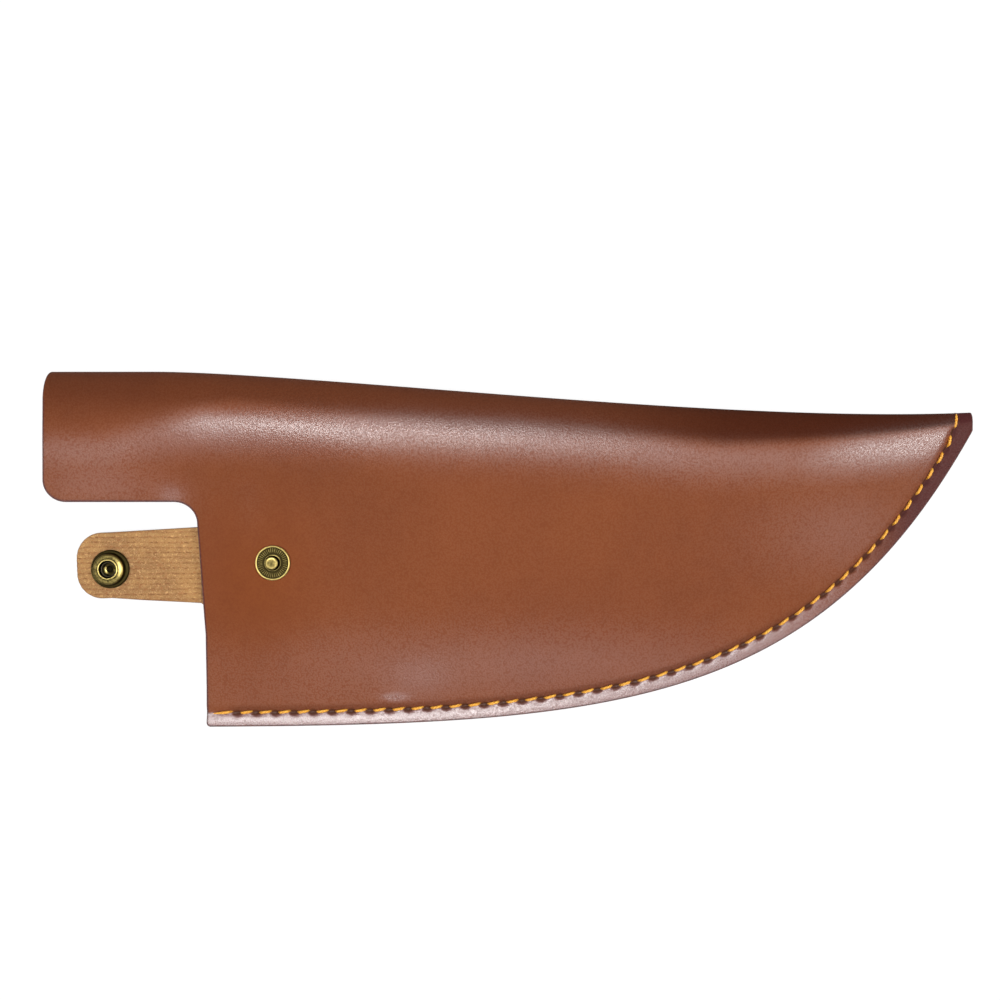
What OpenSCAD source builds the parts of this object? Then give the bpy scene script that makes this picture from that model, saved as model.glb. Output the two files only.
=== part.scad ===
/* [Overall] */
// Length from the handle end of the cover to the tip
total_l = 272; // [220:1:330]
// Height from the fold to the lowest point of the sewn edge
total_w = 105; // [87:1:127]
// Thickness of the leather
leather_t = 1.5; // [1.2:0.1:1.8]
// Gap left between the two layers where they are sewn
layer_gap = 0.1; // [0.05:0.05:0.2]

/* [Fold line and sewn edge] */
// Height that the fold line loses on its way to the tip
spine_drop = 11.5; // [6:0.5:16]
// Straight stretch of the fold line from the handle end
spine_straight = 30.4; // [15:0.2:45]
// Reach of the curve's handle at the straight end, as a share of the curve's length
spine_ease_in = 0.18; // [0.1:0.01:0.4]
// Reach of the curve's handle at the tip, as a share of the curve's length
spine_ease_out = 0.32; // [0.1:0.01:0.5]
// Length of the short cut edge at the tip
tip_edge = 5.5; // [4:0.5:9]
// Share of the sewn edge's length that stays nearly straight
seam_flat = 0.54; // [0.4:0.01:0.6]
// Share of the sewn edge's length that the upsweep takes
seam_upsweep = 0.2; // [0.15:0.01:0.3]
// How far the sewn edge has risen at the end of its flat stretch
seam_lift = 6; // [3:0.5:10]

/* [Handle cover and mouth] */
// Length of the handle cover from its end to the mouth
cover_l = 44.3; // [36:0.1:54]
// Height of the handle cover below the fold
cover_w = 38.2; // [32:0.1:41]
// Radius of the cover's outer corner and of the corner where it meets the mouth
cover_corner_r = 6.5; // [4:0.5:8]
// How far the mouth's edge leans out by the time it reaches the cover
mouth_lean = 2.5; // [0:0.1:4]
// Straight stretch of the mouth's edge above the sewn edge
mouth_straight = 27.7; // [20:0.1:34]

/* [Heights above the table] */
// Crest of the fold at the handle end
crest_handle = 12.9; // [10:0.1:15]
// Crest of the fold at the mouth
crest_mouth = 13.2; // [10:0.1:16]
// Crest of the fold over the belly
crest_belly = 15; // [12:0.1:18]
// Front panel under the closed strap
mouth_h = 4.2; // [3.8:0.1:5]
// Distance from the fold to its crest at the handle end
crest_reach_handle = 9; // [7:0.5:11]
// Distance from the fold to its crest over the belly
crest_reach_belly = 15; // [11:0.5:18]
// Distance from the fold to the flat back
back_reach = 5.5; // [4:0.5:7]
// Length over which the pinched mouth swells into the belly
belly_l = 50; // [35:1:60]

/* [Stitching] */
// Distance from the cut edge to the stitches
seam_inset = 4.3; // [3.5:0.1:5]
// Stitch length
stitch_pitch = 5.7; // [5:0.1:7]
// Thread diameter
thread_d = 1; // [0.8:0.1:1.1]
// Distance from the mouth to the first stitch hole
stitch_start = 1.4; // [1:0.1:3]

/* [Strap] */
// Distance from the mouth's lower corner to the stud, along the guard
stud_in = 20.05; // [18:0.05:25]
// Distance from the fold's top to the stud
stud_drop = 56.2; // [50:0.1:60]
// Angle between the strap and the guard
strap_angle = 2.15; // [0:0.05:3]
// Width of the strap at its root
strap_root_w = 22.8; // [20:0.1:24]
// Width of the strap at the socket
strap_end_w = 19.5; // [15:0.1:20]
// Distance from the socket to the strap's tip
strap_tip = 10.1; // [8:0.1:11]
// Corner radius of the strap's tip
strap_tip_r = 7.5; // [4:0.5:7.5]
// How far the strap's end is shifted towards the fold from the line through the snap
strap_shift = 1.1; // [0:0.1:2]
// Stiff stretch of the strap on the near side of the socket
strap_stiff = 7.6; // [7:0.1:9]
// Clearance between the mouth's edge and the strap that wraps round it
wrap_gap = 0.25; // [0.2:0.05:0.4]
// Clearance between neighbouring stretches of strap
link_gap = 0.04; // [0.03:0.01:0.08]

/* [Snap] */
// Diameter of the cap on the strap's outer side
cap_d = 12.4; // [11:0.1:14]
// Height of the cap
cap_h = 2.6; // [2:0.1:3.2]
// Diameter of the socket's base
socket_d = 11.4; // [10:0.1:13]
// Height of the socket above the leather
socket_h = 2.75; // [2.6:0.05:3.2]
// Diameter of the socket's upper part, which nests in the stud's rim
socket_top_d = 9.2; // [8:0.1:9.4]
// Diameter of the hole that the stud's head enters
socket_hole_d = 4.7; // [4.4:0.1:5]
// Diameter of the stud's flange
stud_d = 10.4; // [10:0.1:12]
// Height of the stud's recessed face above the leather
stud_face_h = 0.45; // [0.4:0.05:0.6]
// Diameter of the stud's head
head_d = 3.8; // [3.6:0.1:4]
// Diameter of the stud's neck
neck_d = 3.2; // [3:0.1:3.3]
// Diameter of the post that holds each half of the snap
post_d = 2.4; // [2:0.1:2.6]
// Clearance round the posts
post_gap = 0.05; // [0.03:0.01:0.1]
// Depth to which metal is pressed into leather
press_depth = 0.15; // [0.1:0.05:0.3]

/* [Hidden] */
$fn = 64;

left_x = -total_l / 2;
tip_x = total_l / 2;
top_y = total_w / 2;
low_y = -total_w / 2;
mouth_x = left_x + cover_l;
sewn_h = 2 * leather_t + layer_gap;
stud_x = mouth_x + stud_in;
stud_y = top_y - stud_drop;

// Steps of the faceted leather
fold_steps = 6;
panel_steps = 15;
corner_steps = 4;
seam_ribs = 25;

function smooth(t) = let(u = min(1, max(0, t))) u * u * (3 - 2 * u);
function mix(a, b, t) = a + (b - a) * t;
function bezier(p, t) =
    pow(1 - t, 3) * p[0] + 3 * pow(1 - t, 2) * t * p[1]
    + 3 * (1 - t) * t * t * p[2] + pow(t, 3) * p[3];
function bezier_slope(p, t) =
    3 * pow(1 - t, 2) * (p[1] - p[0]) + 6 * (1 - t) * t * (p[2] - p[1])
    + 3 * t * t * (p[3] - p[2]);
// The share of a curve at which it reaches x, found by halving
function share_at(p, x, low = 0, high = 1, tries = 18) =
    let(middle = (low + high) / 2)
    tries == 0 ? middle
    : bezier(p, middle).x < x ? share_at(p, x, middle, high, tries - 1)
    : share_at(p, x, low, middle, tries - 1);

// Fold line: straight over the handle, then one curve to the tip
bend_x = left_x + spine_straight;
tip_y = top_y - spine_drop;
spine_span = tip_x - bend_x;
spine = [
    [bend_x, top_y],
    [bend_x + spine_ease_in * spine_span, top_y],
    [tip_x - spine_ease_out * spine_span, tip_y - spine_drop / 3],
    [tip_x, tip_y]
];
function spine_at(x) = x <= bend_x ? [x, top_y] : bezier(spine, share_at(spine, x));

// Sewn edge: from the mouth's lower corner to the tip
seam_span = tip_x - mouth_x;
seam = [
    [mouth_x, low_y],
    [mouth_x + seam_flat * seam_span, low_y + 0.1 * seam_lift],
    [tip_x - seam_upsweep * seam_span, low_y + seam_lift],
    [tip_x, tip_y - tip_edge]
];
// Height on the guard of the stitch line at x
function stitch_y(x) =
    let(t = share_at(seam, max(x, mouth_x)), way = bezier_slope(seam, t))
    bezier(seam, t).y + seam_inset * norm(way) / way.x;

// Edge of the mouth, leaning out towards the cover
lean_y = low_y + mouth_straight;
cover_low_y = top_y - cover_w;
corner_y = cover_low_y - cover_corner_r;
function mouth_at(y) = [mouth_x - mouth_lean * max(0, y - lean_y) / (corner_y - lean_y), y];

// Strap: u runs from the stud to the socket, v across the strap
strap_u = [-cos(strap_angle), -sin(strap_angle)];
strap_v = [-sin(strap_angle), cos(strap_angle)];
function on_strap(u, v) = [stud_x, stud_y] + u * strap_u + v * strap_v;
edge_top = mouth_at(stud_y + strap_root_w / 2);
edge_u = (edge_top - [stud_x, stud_y]) * strap_u;
root_u = edge_u + wrap_gap;

// Closed strap: a short neck stands at the mouth, a long span slopes up to the stud, and the end lies level
snap_stack = stud_face_h + socket_h;
wrap_top = mouth_h + wrap_gap;
function neck_lean(slope) = (wrap_top - leather_t) * tan(slope / 2);
function closing_slope(tries = 8, slope = 9) =
    tries == 0 ? slope
    : closing_slope(tries - 1, atan((mouth_h + snap_stack - wrap_top)
        / (root_u + neck_lean(slope) - strap_stiff)));
closed_slope = closing_slope();
neck_l = (wrap_top - leather_t) / cos(closed_slope / 2);
span_l = (root_u + neck_lean(closed_slope) - strap_stiff) / cos(closed_slope);
// Open strap: rises from the table until the cap under it touches down
open_slope = asin(cap_h / (neck_l + span_l));
pivots = [
    for (along = [0, neck_l, neck_l + span_l])
        [root_u + along * cos(open_slope), leather_t + along * sin(open_slope)]
];
end_pivot = pivots[2];
socket_u = end_pivot[0] + strap_stiff;
socket_xy = on_strap(socket_u, 0);
flesh_z = end_pivot[1];

// Each rib of the leather: a place on the fold, the front panel's end and the back panel's end
function arc(centre, r, from, to, steps) =
    [for (k = [0:steps]) let(a = mix(from, to, k / steps)) centre + r * [cos(a), sin(a)]];
outer_corner = arc(
    [left_x + cover_corner_r, cover_low_y + cover_corner_r], cover_corner_r, 180, 270, corner_steps
);
inner_corner_x = mouth_at(corner_y).x - cover_corner_r;
inner_corner = arc([inner_corner_x, corner_y], cover_corner_r, 90, 0, corner_steps);
cover_run = inner_corner_x - left_x - cover_corner_r;
root_high = on_strap(root_u, strap_root_w / 2);
root_low = on_strap(root_u, -strap_root_w / 2);
shoulder_step = 0.3;
lowest_rib_y = min(lean_y, mix(root_low.y - shoulder_step, low_y, 0.2));
cover_ribs = concat(
    [for (p = outer_corner) [p.x, p, p]],
    [for (k = [1:2]) let(p = [left_x + cover_corner_r + cover_run * k / 3, cover_low_y]) [p.x, p, p]],
    [for (k = [0:corner_steps - 1]) let(p = inner_corner[k]) [p.x - 0.2 * k, p, p]]
);
fold_pitch = 1.1;
first_mouth_x = inner_corner[corner_steps - 1].x + 0.2;
mouth_ends = [
    [mouth_at(root_high.y), root_high],
    [mouth_at(stud_y), on_strap(root_u, 0)],
    [mouth_at(root_low.y), root_low],
    [mouth_at(root_low.y - shoulder_step), mouth_at(root_low.y - shoulder_step)],
    [mouth_at(lowest_rib_y), mouth_at(lowest_rib_y)]
];
mouth_ribs = [
    for (k = [0:len(mouth_ends) - 1])
        [first_mouth_x + 0.6 * k, mouth_ends[k][0], mouth_ends[k][1]]
];
first_seam_x = first_mouth_x + 0.6 * len(mouth_ends) + fold_pitch;
seam_rib_list = [
    for (k = [0:seam_ribs])
        let(t = k / seam_ribs, p = bezier(seam, t))
        [mix(first_seam_x - mouth_x, 0, smooth(t * 3)) + p.x, p, p]
];
ribs = concat(cover_ribs, mouth_ribs, seam_rib_list);

// Crest of the fold: its height and its distance from the fold
pinch_l = stud_in + stud_d / 2 + 0.8;
swell_x = mouth_x + pinch_l;
belly_x = swell_x + belly_l;
function crest_h(x) =
    x < mouth_x ? mix(crest_handle, crest_mouth, smooth((x - left_x) / cover_l))
    : x < belly_x ? mix(crest_mouth, crest_belly, smooth((x - mouth_x) / (belly_x - mouth_x)))
    : sewn_h + (crest_belly - sewn_h) * (1 - pow((x - belly_x) / (tip_x - belly_x), 1.8));
function crest_reach(x) =
    x < belly_x ? mix(crest_reach_handle, crest_reach_belly, smooth((x - left_x) / (belly_x - left_x)))
    : crest_reach_belly * crest_h(x) / crest_belly;

// Height of the front panel beyond the crest, at x and a distance d below the fold
pinch_from = stud_drop - strap_root_w / 2 - 1.2;
pinch_to = stud_drop + strap_root_w / 2 + 3;
function panel_h(x, d) =
    let(
        high = crest_h(x), reach = crest_reach(x),
        sewn_d = max(reach + 0.5, spine_at(x).y - stitch_y(x)),
        share = min(1, max(0, (d - reach) / (sewn_d - reach))),
        belly = mix(high, sewn_h, pow(share, 1.5)),
        pinched = d < pinch_to
            ? mix(high, mouth_h, smooth((d - reach) / (pinch_from - reach)))
            : mix(mouth_h, sewn_h, smooth((d - pinch_to) / (sewn_d - pinch_to))),
        cover = 1 - smooth((x - left_x) / (cover_l - mouth_lean)),
        swell = smooth((x - swell_x) / belly_l)
    )
    mix(mix(pinched, high, cover), belly, swell);

// One closed cross-section: outer skin from the back edge round the fold to the front edge, then back inside
function section(rib) =
    let(
        fold = spine_at(rib[0]), high = crest_h(fold.x), reach = crest_reach(fold.x),
        back_r = min(back_reach, reach), t = leather_t,
        front_l = norm(rib[1] - fold), front_way = (rib[1] - fold) / front_l,
        back_way = (rib[2] - fold) / norm(rib[2] - fold),
        sewn_d = fold.y - stitch_y(fold.x),
        sewn = rib[1].x > mouth_x || rib[1].y < lean_y,
        last_d = sewn && sewn_d > reach + 1 ? min(sewn_d, front_l - 1) : front_l - 1,
        steps = [for (k = [1:panel_steps]) reach + (max(last_d, reach + 0.4) - reach) * k / panel_steps],
        ends = concat(steps, [front_l]),
        outer = concat(
            [[rib[2].x, rib[2].y, 0]],
            [for (k = [0:fold_steps - 1]) let(a = -90 + 90 * k / fold_steps,
                p = fold + back_way * back_r * (1 - cos(a)))
                [p.x, p.y, high / 2 * (1 + sin(a))]],
            [for (k = [0:fold_steps]) let(a = 90 * k / fold_steps,
                p = fold + front_way * reach * (1 - cos(a)))
                [p.x, p.y, high / 2 * (1 + sin(a))]],
            [for (d = ends) let(p = fold + front_way * d) [p.x, p.y, panel_h(p.x, spine_at(p.x).y - p.y)]]
        ),
        inner = concat(
            [[rib[2].x, rib[2].y, t]],
            [for (k = [0:fold_steps - 1]) let(a = -90 + 90 * k / fold_steps,
                p = fold + back_way * (t + (back_r - t) * (1 - cos(a))))
                [p.x, p.y, high / 2 + (high / 2 - t) * sin(a)]],
            [for (k = [0:fold_steps]) let(a = 90 * k / fold_steps,
                p = fold + front_way * (t + (reach - t) * (1 - cos(a))))
                [p.x, p.y, high / 2 + (high / 2 - t) * sin(a)]],
            [for (d = ends) let(p = fold + front_way * d) [p.x, p.y, panel_h(p.x, spine_at(p.x).y - p.y) - t]]
        ),
        n = len(outer)
    )
    concat(outer, [for (k = [0:n - 1]) inner[n - 1 - k]]);

// A solid through closed sections of equal point counts; hollow ends are closed as strips
module loft(sections, folded_ends) {
    n = len(sections[0]);
    last = len(sections) - 1;
    sides = [
        for (i = [0:last - 1], j = [0:n - 1])
            let(a = i * n + j, b = i * n + (j + 1) % n, c = a + n, d = b + n)
            each [[a, c, d], [a, d, b]]
    ];
    strips = [
        for (j = [0:n / 2 - 2])
            let(a = j, b = j + 1, c = n - 2 - j, d = n - 1 - j, e = last * n)
            each [[a, b, c], [a, c, d], [e + a, e + c, e + b], [e + a, e + d, e + c]]
    ];
    fans = [for (j = [1:n - 2]) each [[0, j, j + 1], [last * n, last * n + j + 1, last * n + j]]];
    polyhedron([for (s = sections) each s], concat(sides, folded_ends ? strips : fans), convexity = 8);
}

module folded_body() {
    color("#8c4a2b") loft([for (r = ribs) section(r)], true);
}

// Stitch line: the sewn edge moved inwards, then up to the fold at the tip
line_steps = 110;
line_end = spine_at(tip_x - seam_inset) + [0, -thread_d / 4];
stitch_line = concat(
    [
        for (k = [0:line_steps])
            let(
                t = k / line_steps, way = bezier_slope(seam, t),
                p = bezier(seam, t) + seam_inset * [-way.y, way.x] / norm(way)
            )
            if (p.y < line_end.y - 2 * seam_inset && p.x > mouth_x + stitch_start) p
    ],
    [line_end]
);
function lengths(p, k = 1, sum = [0]) =
    k == len(p) ? sum : lengths(p, k + 1, concat(sum, [sum[k - 1] + norm(p[k] - p[k - 1])]));
line_lengths = lengths(stitch_line);
line_l = line_lengths[len(line_lengths) - 1];
function place(s) =
    let(k = max([for (i = [0:len(line_lengths) - 2]) if (line_lengths[i] <= s) i]),
        way = (stitch_line[k + 1] - stitch_line[k]) / norm(stitch_line[k + 1] - stitch_line[k]))
    [stitch_line[k] + (s - line_lengths[k]) * way, way];
stitches = round(line_l / stitch_pitch);
pitch = line_l / stitches;

// One thread: it lies on its face, and dips to the middle of the leather at each hole
module thread(face_z, middle_z) {
    marks = [[0, 0], [0.15, 0.7], [0.27, 1], [0.73, 1], [0.85, 0.7]];
    spots = concat(
        [for (i = [0:stitches - 1], m = marks) [(i + m[0]) * pitch, m[1]]],
        [[line_l, 0]]
    );
    path = [
        for (s = spots) let(at = place(min(s[0], line_l - 0.001)))
        [at[0].x, at[0].y, mix(middle_z, face_z, s[1])]
    ];
    side_ways = [for (s = spots) let(at = place(min(s[0], line_l - 0.001))) [-at[1].y, at[1].x, 0]];
    count = len(path);
    loft([
        for (k = [0:count - 1])
            let(
                ahead = path[min(k + 1, count - 1)] - path[max(k - 1, 0)],
                way = ahead / norm(ahead), side = side_ways[k], up = cross(way, side)
            )
            [for (a = [0:60:300]) path[k] + thread_d / 2 * (cos(a) * side + sin(a) * up)]
    ], false);
}

// Threads cross in the middle of the two layers
cross_gap = 0.1;
middle_h = sewn_h / 2;

module needle_thread() {
    color("#dc9f32") thread(sewn_h + thread_d / 5, middle_h + (thread_d + cross_gap) / 2);
}

module bobbin_thread() {
    color("#dc9f32") mirror([0, 0, 1]) thread(-thread_d / 2, (thread_d + cross_gap) / 2 - middle_h);
}

// Strap outline seen from above, in its own frame
module strap_outline() {
    half = strap_end_w / 2;
    tip_u = socket_u + strap_tip;
    corner_u = tip_u - strap_tip_r;
    polygon([
        [root_u - 1, -strap_root_w / 2], [socket_u, strap_shift - half], [corner_u, strap_shift - half],
        [corner_u, strap_shift + half], [socket_u, strap_shift + half], [root_u - 1, strap_root_w / 2]
    ]);
    translate([corner_u, strap_shift + strap_tip_r - half])
        square([strap_tip_r, 2 * (half - strap_tip_r)]);
    for (side = [-1, 1])
        translate([corner_u, strap_shift + side * (half - strap_tip_r)]) circle(strap_tip_r);
}

module strap_frame() {
    translate([stud_x, stud_y, 0]) rotate(180 + strap_angle) children();
}

// A stretch of strap cut from the outline, its side view given as [u, z] points
module strap_stretch(side_view) {
    color("#b6844f") strap_frame() intersection() {
        linear_extrude(height = 3 * (cap_h + leather_t)) strap_outline();
        translate([0, strap_root_w, 0]) rotate([90, 0, 0])
            linear_extrude(height = 2 * strap_root_w) polygon(side_view);
    }
}

// One of the two stretches that rise from the table, between pivots k and k + 1
module strap_slope(k) {
    from = pivots[k] + link_gap * [cos(open_slope), sin(open_slope)];
    to = pivots[k + 1];
    down = leather_t * [sin(open_slope), -cos(open_slope)];
    strap_stretch([from, to, to + down, from + down]);
}

module strap_neck() strap_slope(0);
module strap_span() strap_slope(1);

// Level end of the strap, its near face sloped so that the long stretch folds against it
module strap_end() {
    near = end_pivot + [link_gap, 0];
    far = [socket_u + strap_tip + 1, flesh_z];
    slant = leather_t * tan(open_slope) + link_gap;
    difference() {
        strap_stretch([near, far, far - [0, leather_t], near + [slant, -leather_t]]);
        translate([socket_xy.x, socket_xy.y, 0]) cylinder(d = post_d + 2 * post_gap, h = 2 * flesh_z);
    }
}

// Turned parts of the snap: a profile of [radius, height] points spun about the upright axis
module turned(profile) {
    color("#8a7a45") rotate_extrude() polygon(profile);
}

floor_t = 0.35;
roll_t = 0.4;
roll_d = 1.8 * post_d;

// Domed cap under the strap, with the post that comes up through it and is rolled over in the socket
module snap_cap() {
    r = cap_d / 2;
    rim = 0.6;
    flat = 2.5;
    dome = cap_h - rim;
    steps = 6;
    translate([socket_xy.x, socket_xy.y, flesh_z - leather_t]) turned(concat(
        [[0, -cap_h], [flat, -cap_h]],
        [for (k = [1:steps - 1]) let(a = 90 * k / steps) [flat + (r - flat) * sin(a), -rim - dome * cos(a)]],
        [
            [r, -rim], [r - 0.2, 0], [post_d / 2, 0], [post_d / 2, leather_t + floor_t + 0.02],
            [roll_d / 2, leather_t + floor_t + 0.02], [roll_d / 2 - 0.2, leather_t + floor_t + roll_t],
            [0.9, leather_t + floor_t + roll_t], [0.7, leather_t], [0, leather_t]
        ]
    ));
}

// Socket on the strap's inner side: a broad base, a narrower shoulder and a recessed mouth
lip_h = 0.35;
recess = 0.45;
recess_d = 6;
cavity_d = 7;

module snap_socket() {
    r = socket_d / 2;
    top_r = socket_top_d / 2;
    base_h = 0.9;
    hole_r = socket_hole_d / 2;
    translate([socket_xy.x, socket_xy.y, flesh_z]) turned([
        [post_d / 2 + post_gap, 0], [r - 0.3, 0], [r, 0.3], [r, base_h - 0.3], [r - 0.3, base_h],
        [top_r + 0.15, base_h + 0.15], [top_r, base_h + 0.4], [top_r, socket_h - 0.3],
        [top_r - 0.3, socket_h], [recess_d / 2, socket_h], [recess_d / 2 - 0.1, socket_h - recess],
        [hole_r, socket_h - recess], [hole_r, socket_h - recess - lip_h],
        [cavity_d / 2, socket_h - recess - lip_h], [cavity_d / 2, floor_t], [post_d / 2 + post_gap, floor_t]
    ]);
}

// Ring spring inside the socket, open on one side so that the head can spread it
spring_wire = 0.6;
spring_bore = head_d - 0.2;
module socket_spring() {
    color("#c8c4b8")
    translate([socket_xy.x, socket_xy.y, flesh_z + socket_h - recess - lip_h - spring_wire / 2 - 0.03])
        rotate(20) rotate_extrude(angle = 325)
            translate([(spring_bore + spring_wire) / 2, 0]) circle(d = spring_wire, $fn = 24);
}

// Stud on the front panel: rolled rim, recessed face, raised ring, neck and head
ring_d = 5.6;
ring_h = 0.35;
head_top = snap_stack - floor_t - roll_t - 0.05;
head_h = 0.6;
module snap_stud() {
    r = stud_d / 2;
    rim_h = stud_face_h + 0.35;
    rim_in = socket_top_d / 2 + 0.1;
    neck_r = neck_d / 2;
    head_r = head_d / 2;
    bore_r = post_d / 2 + post_gap;
    translate([stud_x, stud_y, mouth_h]) turned([
        [bore_r, -press_depth], [r - 0.15, -press_depth], [r, 0], [r, rim_h - 0.2], [r - 0.15, rim_h],
        [rim_in + 0.1, rim_h], [rim_in, rim_h - 0.15], [rim_in, stud_face_h],
        [ring_d / 2, stud_face_h], [ring_d / 2 - 0.15, stud_face_h + ring_h],
        [neck_r + 0.45, stud_face_h + ring_h], [neck_r, stud_face_h + ring_h - 0.1],
        [neck_r, head_top - head_h], [head_r, head_top - head_h + 0.2], [head_r, head_top - 0.2],
        [head_r - 0.35, head_top], [0, head_top], [0, head_top - head_h], [bore_r, head_top - head_h]
    ]);
}

// Eyelet under the front panel, with the post that goes up inside the stud
eyelet_d = 9;
eyelet_t = 0.35;
module stud_eyelet() {
    under = mouth_h - leather_t;
    translate([stud_x, stud_y, under]) turned([
        [0, -eyelet_t], [eyelet_d / 2 - 0.1, -eyelet_t], [eyelet_d / 2, -eyelet_t + 0.1],
        [eyelet_d / 2, press_depth], [post_d / 2, press_depth],
        [post_d / 2, leather_t + head_top - head_h - 0.05], [0, leather_t + head_top - head_h - 0.05]
    ]);
}

folded_body();
needle_thread();
bobbin_thread();
strap_neck();
strap_span();
strap_end();
snap_cap();
snap_socket();
socket_spring();
snap_stud();
stud_eyelet();
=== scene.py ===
# %% [markdown]
# # A leather blade guard, from blank to snap
# The real guard is one piece of brown leather with a tan ribbed backing. It is folded along the top,
# sewn along the curved edge with thick yellow thread, and closed at the mouth by a strap with a snap.
# Each cell below makes one piece or one finish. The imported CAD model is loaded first: it fixes every
# size and place, and the pieces made here take over from its plain solids.

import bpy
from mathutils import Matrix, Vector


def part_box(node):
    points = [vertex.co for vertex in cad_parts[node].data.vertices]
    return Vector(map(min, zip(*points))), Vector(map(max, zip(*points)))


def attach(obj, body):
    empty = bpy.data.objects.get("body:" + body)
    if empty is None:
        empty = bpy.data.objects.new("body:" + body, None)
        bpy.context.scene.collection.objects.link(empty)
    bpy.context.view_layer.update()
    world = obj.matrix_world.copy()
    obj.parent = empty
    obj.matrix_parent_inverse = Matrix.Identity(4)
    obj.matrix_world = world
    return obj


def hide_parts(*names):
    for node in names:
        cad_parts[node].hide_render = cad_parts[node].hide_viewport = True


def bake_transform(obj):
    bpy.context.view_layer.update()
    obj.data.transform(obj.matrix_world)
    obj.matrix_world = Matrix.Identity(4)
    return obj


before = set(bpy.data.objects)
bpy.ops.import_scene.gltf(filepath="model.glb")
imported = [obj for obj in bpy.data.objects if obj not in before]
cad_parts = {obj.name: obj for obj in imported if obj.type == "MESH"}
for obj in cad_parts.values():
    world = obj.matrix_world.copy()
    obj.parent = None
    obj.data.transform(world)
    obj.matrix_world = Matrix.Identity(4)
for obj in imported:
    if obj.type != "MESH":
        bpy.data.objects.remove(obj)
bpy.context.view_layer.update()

import math

import bmesh
import bpy
import numpy as np
from mathutils import Quaternion, Vector, kdtree, noise
from mathutils.geometry import delaunay_2d_cdt

MM = 0.001

# %% [markdown]
# ## The shape of the leather
# A guard like this is drawn flat first: a fold line, a curved sewn edge and a square mouth. All sizes
# are in millimetres. What the frame knows is read from it, and the rest repeats the maker's pattern,
# so that every stitch and edge here lands on the CAD solid that it replaces.

# %% Sizes of the blank
body_low, body_high = [np.array(corner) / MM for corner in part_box("folded_body")]
left_x, low_y = body_low[:2]
tip_x, top_y = body_high[:2]
leather_t = 1.5
sewn_h = 2 * leather_t + 0.1
cover_l = 44.3
cover_w = 38.2
corner_r = 6.5
mouth_lean = 2.5
mouth_x = left_x + cover_l
lean_y = low_y + 27.7
cover_low_y = top_y - cover_w
corner_y = cover_low_y - corner_r
tip_edge = 5.5
tip_y = top_y - 11.5
rim_r = 0.35
print("blank", round(tip_x - left_x, 1), "by", round(top_y - low_y, 1), "mm")

# %% Curves of the fold and of the sewn edge


def smooth(t):
    u = np.clip(t, 0, 1)
    return u * u * (3 - 2 * u)


def mix(a, b, t):
    return a + (b - a) * t


def bezier(points, t):
    p = np.asarray(points, float)
    t = np.asarray(t, float)[..., None]
    s = 1 - t
    return s**3 * p[0] + 3 * s * s * t * p[1] + 3 * s * t * t * p[2] + t**3 * p[3]


def unit(v):
    return v / np.linalg.norm(v, axis=-1, keepdims=True)


bend_x = left_x + 30.4
spine_span = tip_x - bend_x
spine = bezier(
    [
        [bend_x, top_y],
        [bend_x + 0.18 * spine_span, top_y],
        [tip_x - 0.32 * spine_span, tip_y - (top_y - tip_y) / 3],
        [tip_x, tip_y],
    ],
    np.linspace(0, 1, 1201),
)
seam_span = tip_x - mouth_x
seam_lift = 6
seam_points = [
    [mouth_x, low_y],
    [mouth_x + 0.54 * seam_span, low_y + 0.1 * seam_lift],
    [tip_x - 0.2 * seam_span, low_y + seam_lift],
    [tip_x, tip_y - tip_edge],
]
seam = bezier(seam_points, np.linspace(0, 1, 1201))
seam_way = unit(np.gradient(seam, axis=0))
seam_in = np.stack([-seam_way[:, 1], seam_way[:, 0]], axis=1)
seam_inset = 4.3
stitch_row = seam + seam_inset * seam_in


def spine_y(x):
    return np.where(x <= bend_x, top_y, np.interp(x, spine[:, 0], spine[:, 1]))


def stitch_y(x):
    return np.interp(x, stitch_row[:, 0], stitch_row[:, 1])


def mouth_edge(y):
    return mouth_x - mouth_lean * np.maximum(0, y - lean_y) / (corner_y - lean_y)


print("fold ends", round(float(spine_y(tip_x)), 2), "mm up; sewn edge", len(seam), "points")

# %% Heights above the table
crest_handle, crest_mouth, crest_belly = 12.9, 13.2, 15.0
reach_handle, reach_belly, back_reach = 9.0, 15.0, 5.5
mouth_h = 4.2
belly_l = 50
strap_root_w = 22.8
stud_at = np.array([mouth_x + 20.05, top_y - 56.2])
swell_x = stud_at[0] + 5.2 + 0.8
belly_x = swell_x + belly_l
pinch_from = 56.2 - strap_root_w / 2 - 1.2
pinch_to = 56.2 + strap_root_w / 2 + 3


def crest_h(x):
    near = mix(crest_handle, crest_mouth, smooth((x - left_x) / cover_l))
    middle = mix(crest_mouth, crest_belly, smooth((x - mouth_x) / (belly_x - mouth_x)))
    share = np.clip((x - belly_x) / (tip_x - belly_x), 0, 1)
    far = sewn_h + (crest_belly - sewn_h) * (1 - share**1.8)
    return np.where(x < mouth_x, near, np.where(x < belly_x, middle, far))


def crest_reach(x):
    near = mix(reach_handle, reach_belly, smooth((x - left_x) / (belly_x - left_x)))
    return np.where(x < belly_x, near, reach_belly * crest_h(x) / crest_belly)


def panel_h(x, d):
    """Height of the front panel at x, a distance d below the fold."""
    high = crest_h(x)
    reach = crest_reach(x)
    sewn_d = np.maximum(reach + 0.5, spine_y(x) - stitch_y(x))
    belly = mix(high, sewn_h, np.clip((d - reach) / (sewn_d - reach), 0, 1) ** 1.5)
    above = mix(high, mouth_h, smooth((d - reach) / (pinch_from - reach)))
    below = mix(mouth_h, sewn_h, smooth((d - pinch_to) / (sewn_d - pinch_to)))
    pinched = np.where(d < pinch_to, above, below)
    cover = 1 - smooth((x - left_x) / (cover_l - mouth_lean))
    return mix(mix(pinched, high, cover), belly, smooth((x - swell_x) / belly_l))


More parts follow.
